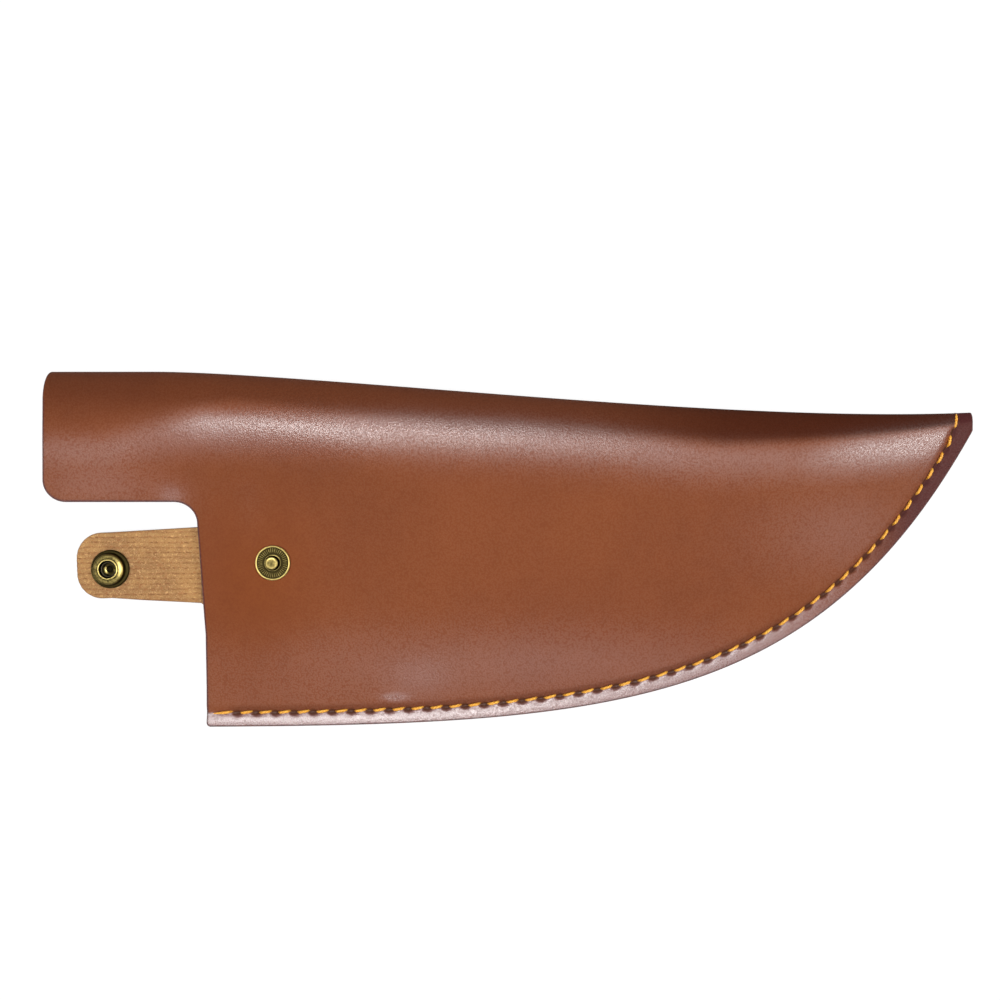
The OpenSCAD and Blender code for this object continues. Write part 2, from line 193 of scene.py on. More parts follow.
print("crest over the belly", float(crest_h(belly_x)), "mm; under the strap", mouth_h, "mm")

# %% [markdown]
# ## The stitch line
# The holes are punched first, at an even pitch, and both threads and every dimple in the leather
# follow from them. So the line is worked out once, as a row of points with its length along it.

# %% Stitch line
thread_d = 1.0
stitch_start = 1.4
line_t = np.linspace(0, 1, 111)
line_seam = bezier(seam_points, line_t)
edge_p = np.asarray(seam_points, float)
line_way = unit(
    3 * (1 - line_t)[:, None] ** 2 * (edge_p[1] - edge_p[0])
    + 6 * ((1 - line_t) * line_t)[:, None] * (edge_p[2] - edge_p[1])
    + 3 * line_t[:, None] ** 2 * (edge_p[3] - edge_p[2])
)
line_all = line_seam + seam_inset * np.stack([-line_way[:, 1], line_way[:, 0]], axis=1)
line_end = np.array([tip_x - seam_inset, float(spine_y(tip_x - seam_inset)) - thread_d / 4])
kept = (line_all[:, 1] < line_end[1] - 2 * seam_inset) & (line_all[:, 0] > mouth_x + stitch_start)
stitch_line = np.vstack([line_all[kept], line_end])
line_s = np.concatenate([[0], np.cumsum(np.linalg.norm(np.diff(stitch_line, axis=0), axis=1))])
stitches = round(line_s[-1] / 5.7)
pitch = line_s[-1] / stitches


def on_line(s):
    """Points on the stitch line and its direction there, at lengths s along it."""
    x = np.interp(s, line_s, stitch_line[:, 0])
    y = np.interp(s, line_s, stitch_line[:, 1])
    step = 0.6
    ahead = np.stack([np.interp(s + step, line_s, stitch_line[:, k]) for k in (0, 1)], -1)
    behind = np.stack([np.interp(s - step, line_s, stitch_line[:, k]) for k in (0, 1)], -1)
    return np.stack([x, y], -1), unit(ahead - behind)


fine_s = np.linspace(-2, line_s[-1] + 2, 2200)
fine_start, fine_way_start = on_line(np.array([0.0]))
fine_line, fine_way = on_line(np.clip(fine_s, 0, line_s[-1]))
fine_line = fine_line + (fine_s - np.clip(fine_s, 0, line_s[-1]))[:, None] * fine_way


def near_line(points):
    """Length along the stitch line and signed distance outwards from it, for points in plan."""
    along = np.empty(len(points))
    out = np.empty(len(points))
    for start in range(0, len(points), 4000):
        p = points[start : start + 4000]
        gap = p[:, None, :] - fine_line[None, :, :]
        best = np.argmin((gap**2).sum(-1), axis=1)
        rest = gap[np.arange(len(p)), best]
        way = fine_way[best]
        along[start : start + 4000] = fine_s[best] + (rest * way).sum(-1)
        out[start : start + 4000] = rest[:, 0] * way[:, 1] - rest[:, 1] * way[:, 0]
    return along, out


print(stitches, "stitches,", round(pitch, 3), "mm apart, over", round(line_s[-1], 1), "mm")

# %% [markdown]
# ## Making meshes
# All the pieces are meshes built from arrays of points. Each point also keeps its place at rest, in
# millimetres, because a texture tied to that stays on the leather when the strap bends.

# %% Mesh helper


def make_mesh(name, points, faces, materials, slots=None, smooth_faces=True, **values):
    """A mesh object from points in millimetres, with one number per point for each named value."""
    mesh = bpy.data.meshes.new(name)
    mesh.from_pydata((np.asarray(points) * MM).tolist(), [], faces)
    mesh.validate()
    rest = mesh.attributes.new("rest", "FLOAT_VECTOR", "POINT")
    rest.data.foreach_set("vector", np.asarray(points, np.float32).ravel())
    for label, numbers in values.items():
        layer = mesh.attributes.new(label, "FLOAT", "POINT")
        layer.data.foreach_set("value", np.asarray(numbers, np.float32))
    for material in materials:
        mesh.materials.append(material)
    if slots is not None:
        mesh.polygons.foreach_set("material_index", np.asarray(slots, np.int32))
    mesh.polygons.foreach_set("use_smooth", np.full(len(mesh.polygons), smooth_faces))
    piece = bpy.data.objects.new(name, mesh)
    bpy.context.scene.collection.objects.link(piece)
    return piece


def grid_faces(first, rows, columns, closed_rows=False, closed_columns=False):
    """Quads over a grid of points numbered row by row from first."""
    faces = []
    for i in range(rows if closed_rows else rows - 1):
        for j in range(columns if closed_columns else columns - 1):
            a = first + i * columns + j
            b = first + i * columns + (j + 1) % columns
            c = first + ((i + 1) % rows) * columns + (j + 1) % columns
            d = first + ((i + 1) % rows) * columns + j
            faces.append((a, b, c, d))
    return faces


print("mesh helpers ready")

# %% [markdown]
# ## Finishes
# Every finish is worked out from the surface itself: no picture is used. Effects that several
# finishes share are node groups, and each material sets its own values. The groups put out masks and
# heights only, and the shader stays in the material.

# %% Node helpers


def add(tree, kind, inputs=None, **settings):
    """A new node with its settings, and its inputs linked or set by name or number."""
    made = tree.nodes.new(kind)
    for label, value in settings.items():
        setattr(made, label, value)
    for label, value in (inputs or {}).items():
        socket = made.inputs[label]
        if isinstance(value, bpy.types.NodeSocket):
            tree.links.new(value, socket)
        else:
            socket.default_value = value
    return made


def maths(tree, operation, a, b=0.0, c=0.0, clamp=False):
    made = add(tree, "ShaderNodeMath", {0: a, 1: b, 2: c}, operation=operation, use_clamp=clamp)
    return made.outputs[0]


def blend_colours(tree, share, a, b, mode="MIX"):
    made = add(tree, "ShaderNodeMix", {0: share, 6: a, 7: b}, data_type="RGBA", blend_type=mode)
    return made.outputs[2]


def ramp(tree, value, low, high):
    """0 below low, 1 above high, smooth in between."""
    made = add(
        tree,
        "ShaderNodeMapRange",
        {"Value": value, "From Min": low, "From Max": high},
        interpolation_type="SMOOTHSTEP",
    )
    return made.outputs[0]


def srgb(red, green, blue):
    """A colour as it looks on screen, 0 to 255, as the linear colour that the shader wants."""
    parts = [c / 255 for c in (red, green, blue)]
    return [c / 12.92 if c < 0.04045 else ((c + 0.055) / 1.055) ** 2.4 for c in parts] + [1]


def new_group(name, inputs, outputs):
    tree = bpy.data.node_groups.new(name, "ShaderNodeTree")
    for label, kind, value in inputs:
        socket = tree.interface.new_socket(label, in_out="INPUT", socket_type=kind)
        if value is not None:
            socket.default_value = value
    for label, kind in outputs:
        tree.interface.new_socket(label, in_out="OUTPUT", socket_type=kind)
    return tree, tree.nodes.new("NodeGroupInput").outputs, tree.nodes.new("NodeGroupOutput").inputs


def new_material(name):
    """A material with its Principled shader, and the tree to add nodes to."""
    material = bpy.data.materials.new(name)
    material.use_nodes = True
    tree = material.node_tree
    return material, tree, tree.nodes["Principled BSDF"]


def value_of(tree, label):
    return add(tree, "ShaderNodeAttribute", attribute_name=label).outputs["Fac"]


def place_of(tree):
    return add(tree, "ShaderNodeAttribute", attribute_name="rest").outputs["Vector"]


print("node helpers ready")

# %% Shared effects: pebble grain and soft mottling
FLOAT, VECTOR = "NodeSocketFloat", "NodeSocketVector"

grain_group, given, put = new_group(
    "pebble grain",
    [("Place", VECTOR, None), ("Size", FLOAT, 0.8), ("Fine", FLOAT, 0.35)],
    [("Height", FLOAT), ("Pores", FLOAT)],
)
per_mm = maths(grain_group, "DIVIDE", 1.0, given["Size"])
wobble = add(grain_group, "ShaderNodeTexNoise", {"Vector": given["Place"], "Scale": 0.9, "Detail": 2.0})
bent = add(
    grain_group,
    "ShaderNodeVectorMath",
    {0: wobble.outputs["Color"], 1: (0.5, 0.5, 0.5), 2: given["Place"]},
    operation="MULTIPLY_ADD",
)
cells = add(
    grain_group,
    "ShaderNodeTexVoronoi",
    {"Vector": bent.outputs[0], "Scale": per_mm, "Randomness": 1.0, "Smoothness": 0.6},
    feature="SMOOTH_F1",
)
fine = add(
    grain_group,
    "ShaderNodeTexNoise",
    {"Vector": given["Place"], "Scale": maths(grain_group, "MULTIPLY", per_mm, 3.1), "Detail": 3.0},
)
dome = maths(grain_group, "SUBTRACT", 1.0, cells.outputs["Distance"])
finer = maths(grain_group, "MULTIPLY", fine.outputs["Fac"], given["Fine"])
grain_group.links.new(maths(grain_group, "ADD", dome, finer), put["Height"])
grain_group.links.new(ramp(grain_group, cells.outputs["Distance"], 0.35, 0.75), put["Pores"])

mottle_group, given, put = new_group(
    "soft mottling", [("Place", VECTOR, None), ("Size", FLOAT, 20.0)], [("Mask", FLOAT)]
)
clouds = add(
    mottle_group,
    "ShaderNodeTexNoise",
    {
        "Vector": given["Place"],
        "Scale": maths(mottle_group, "DIVIDE", 1.0, given["Size"]),
        "Detail": 4.0,
        "Roughness": 0.55,
    },
)
mottle_group.links.new(ramp(mottle_group, clouds.outputs["Fac"], 0.3, 0.7), put["Mask"])


def use_group(tree, group, **inputs):
    made = add(tree, "ShaderNodeGroup")
    made.node_tree = group
    for label, value in inputs.items():
        socket = made.inputs[label]
        if isinstance(value, bpy.types.NodeSocket):
            tree.links.new(value, socket)
        else:
            socket.default_value = value
    return made.outputs


print("groups:", [g.name for g in bpy.data.node_groups])

# %% [markdown]
# ## Brown leather
# Smooth coated leather: a warm brown with slow changes in tone, a fine pebble that only shows in the sheen,
# and a dark cut edge. Shade is painted into the colour in the stitch holes, on the upper side of the fold,
# beside the stitch row and near the tip. Handling and the sewing machine's foot polish the fold and the
# margin, so those are glossier than the middle; the margin's pinkish tone is partly a painted sheen.

# %% Brown leather
leather, tree, shader = new_material("brown leather")
place = place_of(tree)
grain = use_group(tree, grain_group, Place=place, Size=0.5, Fine=0.7)
broad = use_group(tree, mottle_group, Place=place, Size=38.0)
small = use_group(tree, mottle_group, Place=place, Size=5.0)
tone = blend_colours(tree, broad["Mask"], srgb(116, 61, 29), srgb(110, 57, 28))
tone = blend_colours(
    tree, maths(tree, "MULTIPLY", small["Mask"], 0.25), tone, srgb(123, 66, 35)
)
tone = blend_colours(tree, maths(tree, "MULTIPLY", grain["Pores"], 0.22), tone, srgb(96, 44, 26))
polish = value_of(tree, "polish")
pressed = value_of(tree, "pressed")
tone = blend_colours(tree, maths(tree, "MULTIPLY", polish, 0.55), tone, srgb(108, 44, 20))
# Painted shade on the upper side of the fold, where it turns from the light, and beside the stitch row.
tone = blend_colours(tree, value_of(tree, "fold"), tone, srgb(54, 20, 9))
# Pinkish tone on the pressed margin, partly a painted sheen where the margin catches the light.
tone = blend_colours(tree, pressed, tone, srgb(100, 56, 54))
# Painted shade, dark brown, in the stitch holes.
tone = blend_colours(tree, value_of(tree, "hollow"), tone, srgb(66, 30, 10))
# Dark colour of the cut edge; near the tip the same tone is painted shade.
tone = blend_colours(tree, value_of(tree, "rim"), tone, srgb(70, 34, 34))
tree.links.new(tone, shader.inputs["Base Color"])
matt = maths(tree, "MULTIPLY_ADD", polish, -0.61, 0.86)
matt = maths(tree, "MULTIPLY_ADD", grain["Pores"], 0.3, matt)
matt = maths(tree, "MULTIPLY_ADD", value_of(tree, "hollow"), 0.6, matt, clamp=True)
tree.links.new(matt, shader.inputs["Roughness"])
coarse = maths(tree, "MULTIPLY_ADD", pressed, -0.5, 0.72)
relief = add(
    tree, "ShaderNodeBump", {"Height": grain["Height"], "Strength": coarse, "Distance": 0.085 * MM}
)
tree.links.new(relief.outputs[0], shader.inputs["Normal"])
shine = maths(tree, "MULTIPLY_ADD", polish, 0.65, 0.35)
shine = maths(tree, "MULTIPLY_ADD", value_of(tree, "fold"), -0.3, shine, clamp=True)
tree.links.new(shine, shader.inputs["Specular IOR Level"])
gloss = maths(tree, "MULTIPLY_ADD", polish, 0.55, maths(tree, "MULTIPLY", pressed, 0.85))
tree.links.new(gloss, shader.inputs["Coat Weight"])
tree.links.new(relief.outputs[0], shader.inputs["Coat Normal"])
shader.inputs["Coat Roughness"].default_value = 0.3
print(leather.name)

# %% [markdown]
# ## Cut edges
# The edges are cut through the brown coat into dark, fibrous leather, so they are rough, with short
# fibres along the cut.

# %% Cut edge
cut_edge, tree, shader = new_material("cut edge")
place = place_of(tree)
layers = add(
    tree,
    "ShaderNodeTexNoise",
    {
        "Vector": add(
            tree, "ShaderNodeVectorMath", {0: place, 1: (0.8, 0.8, 5.0)}, operation="MULTIPLY"
        ).outputs[0],
        "Scale": 1.3,
        "Detail": 5.0,
    },
)
fuzz = use_group(tree, grain_group, Place=place, Size=0.3, Fine=0.8)
tone = blend_colours(
    tree, ramp(tree, layers.outputs["Fac"], 0.35, 0.65), srgb(62, 34, 36), srgb(104, 62, 56)
)
tree.links.new(tone, shader.inputs["Base Color"])
shader.inputs["Roughness"].default_value = 0.72
relief = add(
    tree, "ShaderNodeBump", {"Height": fuzz["Height"], "Strength": 0.7, "Distance": 0.12 * MM}
)
tree.links.new(relief.outputs[0], shader.inputs["Normal"])
print(cut_edge.name)

# %% [markdown]
# ## Ribbed backing
# The inside of the leather is bonded to a tan ribbed cloth. Its ribs run along the guard, about
# 1.54 mm apart, and dark thread shows in short dashes between them. The strap shows this side.

# %% Ribbed backing
rib_pitch = 1.54
backing, tree, shader = new_material("ribbed backing")
place = place_of(tree)
turn = maths(tree, "MULTIPLY", value_of(tree, "ribs"), 2 * math.pi / rib_pitch)
rib = maths(tree, "MULTIPLY_ADD", maths(tree, "COSINE", turn), 0.5, 0.5)
stretched = add(
    tree,
    "ShaderNodeVectorMath",
    {0: place, 1: (0.8, 1.5, 1.0)},
    operation="MULTIPLY",
)
dashes = add(
    tree, "ShaderNodeTexNoise", {"Vector": stretched.outputs[0], "Scale": 1.5, "Detail": 2.0}
)
valley = ramp(tree, rib, 0.4, 0.05)
dash = maths(tree, "MULTIPLY", ramp(tree, dashes.outputs["Fac"], 0.48, 0.62), valley)
fuzz = add(tree, "ShaderNodeTexNoise", {"Vector": place, "Scale": 3.2, "Detail": 6.0, "Roughness": 0.7})
fibres = add(
    tree,
    "ShaderNodeTexNoise",
    {"Vector": stretched.outputs[0], "Scale": 5.5, "Detail": 5.0, "Roughness": 0.65},
)
cloudy = use_group(tree, mottle_group, Place=place, Size=7.0)
tone = blend_colours(tree, fibres.outputs["Fac"], srgb(118, 81, 47), srgb(163, 126, 82))
knots = add(tree, "ShaderNodeTexNoise", {"Vector": place, "Scale": 1.15, "Detail": 3.0, "Roughness": 0.6})
tone = blend_colours(tree, ramp(tree, fuzz.outputs["Fac"], 0.52, 0.7), tone, srgb(196, 160, 118))
tone = blend_colours(tree, ramp(tree, fuzz.outputs["Fac"], 0.46, 0.3), tone, srgb(108, 67, 39))
tone = blend_colours(tree, ramp(tree, knots.outputs["Fac"], 0.55, 0.7), tone, srgb(190, 149, 99))
tone = blend_colours(tree, ramp(tree, knots.outputs["Fac"], 0.45, 0.3), tone, srgb(145, 93, 58))
tone = blend_colours(
    tree, maths(tree, "MULTIPLY", cloudy["Mask"], 0.35), tone, srgb(196, 150, 92)
)
# Painted shade in the valleys between the ribs.
tone = blend_colours(tree, maths(tree, "MULTIPLY", valley, 0.28), tone, srgb(140, 90, 56))
tone = blend_colours(tree, maths(tree, "MULTIPLY", dash, 0.62), tone, srgb(108, 64, 38))
tone = blend_colours(tree, value_of(tree, "rim"), tone, srgb(120, 84, 56))
tree.links.new(tone, shader.inputs["Base Color"])
shader.inputs["Roughness"].default_value = 0.88
shader.inputs["Specular IOR Level"].default_value = 0.25
height = maths(tree, "MULTIPLY_ADD", fuzz.outputs["Fac"], 0.9, maths(tree, "MULTIPLY", rib, 0.5))
relief = add(tree, "ShaderNodeBump", {"Height": height, "Strength": 0.9, "Distance": 0.16 * MM})
tree.links.new(relief.outputs[0], shader.inputs["Normal"])
print(backing.name)

# %% [markdown]
# ## Thread and metal
# The thread is thick, waxed and orange-yellow, with painted shade down in its twist and in the holes.
# The snap is brass made to look old: tarnished, worn bright on its rims, with painted highlights on one
# side and painted shade, nearly black, in its cavities. Each point of the metal carries this mix of
# wear and painted light.

# %% Waxed thread
thread_finish, tree, shader = new_material("waxed thread")
place = place_of(tree)
strands = add(tree, "ShaderNodeTexNoise", {"Vector": place, "Scale": 3.0, "Detail": 4.0})
tone = blend_colours(
    tree, ramp(tree, strands.outputs["Fac"], 0.35, 0.7), srgb(216, 140, 34), srgb(250, 194, 82)
)
# Painted shade down in the twist and where the thread sinks into the holes.
tone = blend_colours(tree, value_of(tree, "hollow"), tone, srgb(112, 58, 16))
tree.links.new(tone, shader.inputs["Base Color"])
shader.inputs["Roughness"].default_value = 0.5
shader.inputs["Specular IOR Level"].default_value = 0.35
relief = add(
    tree, "ShaderNodeBump", {"Height": strands.outputs["Fac"], "Strength": 0.6, "Distance": 0.1 * MM}
)
tree.links.new(relief.outputs[0], shader.inputs["Normal"])
print(thread_finish.name)

# %% Old brass
tarnish_group, given, put = new_group(
    "tarnish", [("Place", VECTOR, None), ("Rubbed", FLOAT, 0.5)], [("Bright", FLOAT), ("Height", FLOAT)]
)
spots = add(
    tarnish_group, "ShaderNodeTexNoise", {"Vector": given["Place"], "Scale": 1.6, "Detail": 6.0}
)
scuffs = add(
    tarnish_group, "ShaderNodeTexNoise", {"Vector": given["Place"], "Scale": 7.0, "Detail": 3.0}
)
uneven = maths(tarnish_group, "MULTIPLY_ADD", spots.outputs["Fac"], 0.9, -0.45)
bright = maths(tarnish_group, "ADD", given["Rubbed"], uneven, clamp=True)
tarnish_group.links.new(bright, put["Bright"])
tarnish_group.links.new(scuffs.outputs["Fac"], put["Height"])


def brass_finish(name, place, rubbed, tree, shader):
    worn = use_group(tree, tarnish_group, Place=place, Rubbed=rubbed)
    tone = blend_colours(tree, worn["Bright"], srgb(48, 41, 20), srgb(184, 164, 98))
    # Below zero the value is painted shade, near black, in the cavities.
    tone = blend_colours(tree, ramp(tree, rubbed, -0.2, -1.0), tone, srgb(10, 8, 6))
    tree.links.new(tone, shader.inputs["Base Color"])
    tree.links.new(
        maths(tree, "MULTIPLY_ADD", worn["Bright"], -0.2, 0.55), shader.inputs["Roughness"]
    )
    shader.inputs["Metallic"].default_value = 1.0
    relief = add(
        tree, "ShaderNodeBump", {"Height": worn["Height"], "Strength": 0.35, "Distance": 0.05 * MM}
    )
    tree.links.new(relief.outputs[0], shader.inputs["Normal"])
    print(name)


brass, tree, shader = new_material("old brass")
brass_finish(brass.name, place_of(tree), value_of(tree, "rubbed"), tree, shader)

# %% [markdown]
# ## The folded body
# The blank wraps round the fold like a long tube that opens into two flat panels. The fold is built
# as a band of cross-sections. Each panel is filled with triangles inside its outline, with dense rows
# beside the stitches, so the dimples there are real relief. A second skin lies one leather thickness
# inside, and a rounded rim joins the two along the cut edge.

# %% Outline of the panels
edge_step = 0.9


def arc(centre, radius, start, stop, steps):
    angle = np.radians(np.linspace(start, stop, steps))
    return np.stack([centre[0] + radius * np.cos(angle), centre[1] + radius * np.sin(angle)], 1)


def run(start, stop, step=edge_step):
    steps = max(2, int(round(np.linalg.norm(np.subtract(stop, start)) / step)) + 1)
    return np.linspace(start, stop, steps)


def even_row(points, step):
    """The same row of points, spaced evenly."""
    length = np.concatenate([[0], np.cumsum(np.linalg.norm(np.diff(points, axis=0), axis=1))])
    wanted = np.linspace(0, length[-1], int(length[-1] / step) + 1)
    return np.stack([np.interp(wanted, length, points[:, k]) for k in (0, 1)], 1)


def joined(*rows):
    """Rows of points end to end, without repeats."""
    points = np.vstack(rows)
    gap = np.linalg.norm(np.diff(points, axis=0), axis=1)
    return points[np.concatenate([[True], gap > 0.02])]


inner_corner_x = mouth_edge(corner_y) - corner_r
toe_r = 1.2
cover_part = joined(
    arc([left_x + corner_r, cover_low_y + corner_r], corner_r - rim_r, 180, 270, 16),
    run([left_x + corner_r, cover_low_y + rim_r], [inner_corner_x, cover_low_y + rim_r]),
    arc([inner_corner_x, corner_y], corner_r + rim_r, 90, 0, 16),
)
mouth_y = run([0, corner_y], [0, low_y + toe_r], 0.7)[:, 1]
mouth_part = np.stack([mouth_edge(mouth_y) + rim_r, mouth_y], 1)
toe_part = arc([mouth_x + toe_r, low_y + toe_r], toe_r - rim_r, 180, 270, 6)
seam_row = seam + rim_r * seam_in
seam_part = even_row(seam_row[(seam_row[:, 0] > mouth_x + toe_r) & (seam_row[:, 0] < tip_x - rim_r)], 0.5)
tip_low = np.array([tip_x - rim_r, tip_y - tip_edge + 0.4])
print("outline", len(cover_part) + len(mouth_part) + len(seam_part), "points")

# %% Strap root and outlines of both panels
strap_angle = math.radians(2.15)
strap_u = np.array([-math.cos(strap_angle), -math.sin(strap_angle)])
strap_v = np.array([-math.sin(strap_angle), math.cos(strap_angle)])
wrap_gap = 0.25


def on_strap(u, v):
    return stud_at + np.multiply.outer(u, strap_u) + np.multiply.outer(v, strap_v)


root_top_y = stud_at[1] + strap_root_w / 2
root_u = float((np.array([mouth_edge(root_top_y), root_top_y]) - stud_at) @ strap_u) + wrap_gap
root_v = np.linspace(strap_root_w / 2, -strap_root_w / 2, 29)
root_part = np.array([on_strap(root_u, v) for v in root_v])
below_root = mouth_part[mouth_part[:, 1] < root_part[-1, 1] - 0.3]


def end_run(x, top, bottom):
    """Straight end of a panel at x, from its top to its bottom."""
    return run([x, top], [x, bottom])


def panel_outline(top_d, with_root):
    """Panel outline from the top of the cover's end round to the top of the tip."""
    first_x = left_x + rim_r
    last_x = tip_x - rim_r
    start = end_run(first_x, float(spine_y(first_x) - top_d(first_x)), cover_low_y + corner_r)
    stop = end_run(last_x, tip_low[1], float(spine_y(last_x) - top_d(last_x)))
    edge = [root_part, below_root] if with_root else [mouth_part]
    rows = joined(start, cover_part, *edge, toe_part, seam_part, [tip_low], stop)
    return rows


def back_d(x):
    return np.minimum(back_reach, crest_reach(x))


front_outline = panel_outline(crest_reach, False)
back_outline = panel_outline(back_d, True)
print("strap root", round(root_u, 2), "mm from the stud; outlines", len(front_outline), len(back_outline))

# %% Fill a panel with triangles


def inside(points, outline):
    """Which points lie inside a closed outline."""
    x, y = points[:, 0], points[:, 1]
    hit = np.zeros(len(points), bool)
    a = outline
    b = np.roll(outline, -1, axis=0)
    for (x0, y0), (x1, y1) in zip(a, b):
        if y0 == y1:
            continue
        crosses = (y0 > y) != (y1 > y)
        hit ^= crosses & (x < (x1 - x0) * (y - y0) / (y1 - y0) + x0)
    return hit


seam_rows_from = 9.5
row_step = 0.42
edge_inset = 0.45


def outward_normals(loop):
    """Plan directions that point out of a closed loop of points run anticlockwise."""
    ahead = np.roll(loop, -1, axis=0) - loop
    ahead = ahead / np.maximum(np.linalg.norm(ahead, axis=1, keepdims=True), 1e-9)
    way = ahead + np.roll(ahead, 1, axis=0)
    way = way / np.maximum(np.linalg.norm(way, axis=1, keepdims=True), 1e-9)
    return np.stack([way[:, 1], -way[:, 0]], axis=1)


def fill_points(outline, spacing, seam_step):
    """Points inside the outline: dense rows beside the seam, and an even grid elsewhere."""
    rows = []
    if seam_step:
        for inset in np.arange(rim_r + 0.3, seam_rows_from, seam_step):
            rows.append(even_row(seam + inset * seam_in, seam_step * 1.15))
    rows.append(outline - edge_inset * outward_normals(outline))
    across = np.arange(left_x, tip_x, spacing)
    for k, y in enumerate(np.arange(low_y, top_y, spacing * 0.87)):
        rows.append(np.stack([across + (k % 2) * spacing / 2, np.full(len(across), y)], 1))
    found = np.vstack(rows)
    found = found[inside(found, outline)]
    tree = kdtree.KDTree(len(outline))
    for k, p in enumerate(outline):
        tree.insert((p[0], p[1], 0), k)
    tree.balance()
    seam_tree = kdtree.KDTree(len(seam))
    for k, p in enumerate(seam):
        seam_tree.insert((p[0], p[1], 0), k)
    seam_tree.balance()
    kept = []
    count = sum(len(r) for r in rows[: len(np.arange(rim_r + 0.3, seam_rows_from, seam_step))]) if seam_step else 0
    for p in found:
        flat = (p[0], p[1], 0)
        seam_gap = seam_tree.find(flat)[2]
        in_rows = seam_step and seam_gap < seam_rows_from
        edge_gap = tree.find(flat)[2]
        near = 0.27 if seam_gap < 3 else 0.4
        on_inset = abs(edge_gap - edge_inset) < 0.1
        if edge_gap > (near if in_rows or on_inset else max(spacing * 0.5, 0.8)):
            kept.append((p[0], p[1], in_rows))
    return kept, count


def triangulate(outline, inner):
    points = [Vector(p) for p in outline] + [Vector(p) for p in inner]
    n = len(outline)
    edges = [(k, (k + 1) % n) for k in range(n)]
    verts, _, faces, origin, _, _ = delaunay_2d_cdt(points, edges, [], 1, 1e-5)
    first = {}
    for k, sources in enumerate(origin):
        for source in sources:
            first[source] = k
    xy = np.array([tuple(v) for v in verts])
    boundary = [first[k] for k in range(n)]
    return xy, [tuple(f) for f in faces], boundary


band_x = np.concatenate(
    [[left_x + rim_r], np.arange(math.ceil(left_x) + 1, tip_x - 1, 1.0), [tip_x - rim_r]]
)


def make_panel(outline, top_d, spacing, seam_step):
    """Triangles of a panel in plan. Its top row matches the band's cross-sections."""
    top_x = band_x[::-1][1:-1]
    top_row = np.stack([top_x, spine_y(top_x) - top_d(top_x)], 1)
    loop = np.vstack([outline, top_row])
    kept, _ = fill_points(loop, spacing, seam_step)
    kept = np.array(kept)
    rows = kept[kept[:, 2] > 0, :2]
    rest = kept[kept[:, 2] == 0, :2]
    if seam_step:
        lattice = set()
        chosen = []
        for p in rows:
            cell = (round(p[0] / 0.3), round(p[1] / 0.3))
            if cell not in lattice:
                lattice.add(cell)
                chosen.append(p)
        rows = np.array(chosen)
    xy, faces, boundary = triangulate(loop, np.vstack([rows, rest]) if len(rows) else rest)
    return xy, faces, boundary[: len(outline)], boundary[len(outline) :]


front_xy, front_faces, front_edge, front_top = make_panel(front_outline, crest_reach, 1.6, row_step)
back_xy, back_faces, back_edge, back_top = make_panel(back_outline, back_d, 3.0, 0.6)
print("front", len(front_xy), "points,", len(front_faces), "triangles; back", len(back_xy))

# %% Heights and details of the skins


def front_details(points):
    """Depth of the details on the front skin, the painted shade in its stitch holes, how near the edge and how
    polished it is.
    """
    along, out = near_line(points)
    k = np.clip(np.round(along / pitch), 1, stitches)
    gap = along - k * pitch
    on_row = smooth((along + 1.5) / 1.0) * smooth((line_s[-1] + 2 - along) / 1.0)
    on_edge = smooth((along + 4.2) / 1.2) * smooth((line_s[-1] + 2 - along) / 1.0)
    from_hole = np.hypot(gap / 1.5, (out - 0.3) / 0.85)
    hole = smooth((1.35 - from_hole) / 1.2)
    groove = np.exp(-((out / 0.6) ** 2))
    between = 0.5 - 0.5 * np.cos(2 * np.pi * gap / pitch)
    rise = smooth((out + 0.2) / 3.2) - 1
    inner = np.where(out < 0, smooth((out + 2.2) / 2.2) * (smooth(0.2 / 3.2) - 1), rise)
    bulge = between * np.exp(-(((out - 1.3) / 0.8) ** 2))
    depth = on_row * (-0.55 * hole - 0.1 * groove + 0.1 * bulge) + 0.42 * on_edge * inner
    # Painted shade inside each stitch hole.
    dark = on_row * smooth((1.2 - from_hole) / 0.45)
    margin = smooth(out / 0.5) * smooth((seam_inset + 0.2 - out) / 0.6)
    towards_tip = 1 - 0.95 * smooth((points[:, 0] - 60) / 60)
    return depth, dark, margin * on_edge * towards_tip, out


def front_top_z(points):
    x, y = points[:, 0], points[:, 1]
    return panel_h(x, spine_y(x) - y)


def waves(points, size, seed):
    """Slow, smooth unevenness between -1 and 1."""
    return np.array([noise.noise(Vector((p[0] / size, p[1] / size, seed))) for p in points])


tip_share = smooth((front_xy[:, 0] - 60) / 60)
depth, dark, margin, out = front_details(front_xy)
d_front = spine_y(front_xy[:, 0]) - front_xy[:, 1]
past_crest = smooth((d_front - crest_reach(front_xy[:, 0])) / 12)
from_edge = smooth((-out) / 8)
sag = waves(front_xy, 26, 3.0) * 0.28 * past_crest * from_edge
z_front = front_top_z(front_xy) + depth + sag
print("front heights", round(float(z_front.min()), 2), "to", round(float(z_front.max()), 2), "mm")

# %% Fold band


def band(points_back, points_front):
    """Angles of the fold's cross-section, from the back panel round to the front panel."""
    back = np.linspace(-90, 0, points_back, endpoint=False)
    return np.radians(np.concatenate([back, np.linspace(0, 90, points_front)]))


angles = band(9, 15)


def fold_skin(inner):
    """Grid of points over the fold, one cross-section for each x."""
    t = leather_t if inner else 0.0
    x = band_x[:, None]
    fold = spine_y(x)
    high, reach, back_r = crest_h(x), crest_reach(x), back_d(x)
    a = angles[None, :]
    r = np.where(a < 0, back_r, reach)
    y = fold - (t + (r - t) * (1 - np.cos(a)))
    z = high / 2 + (high / 2 - t) * np.sin(a)
    return np.stack(np.broadcast_arrays(x, y, z), -1)


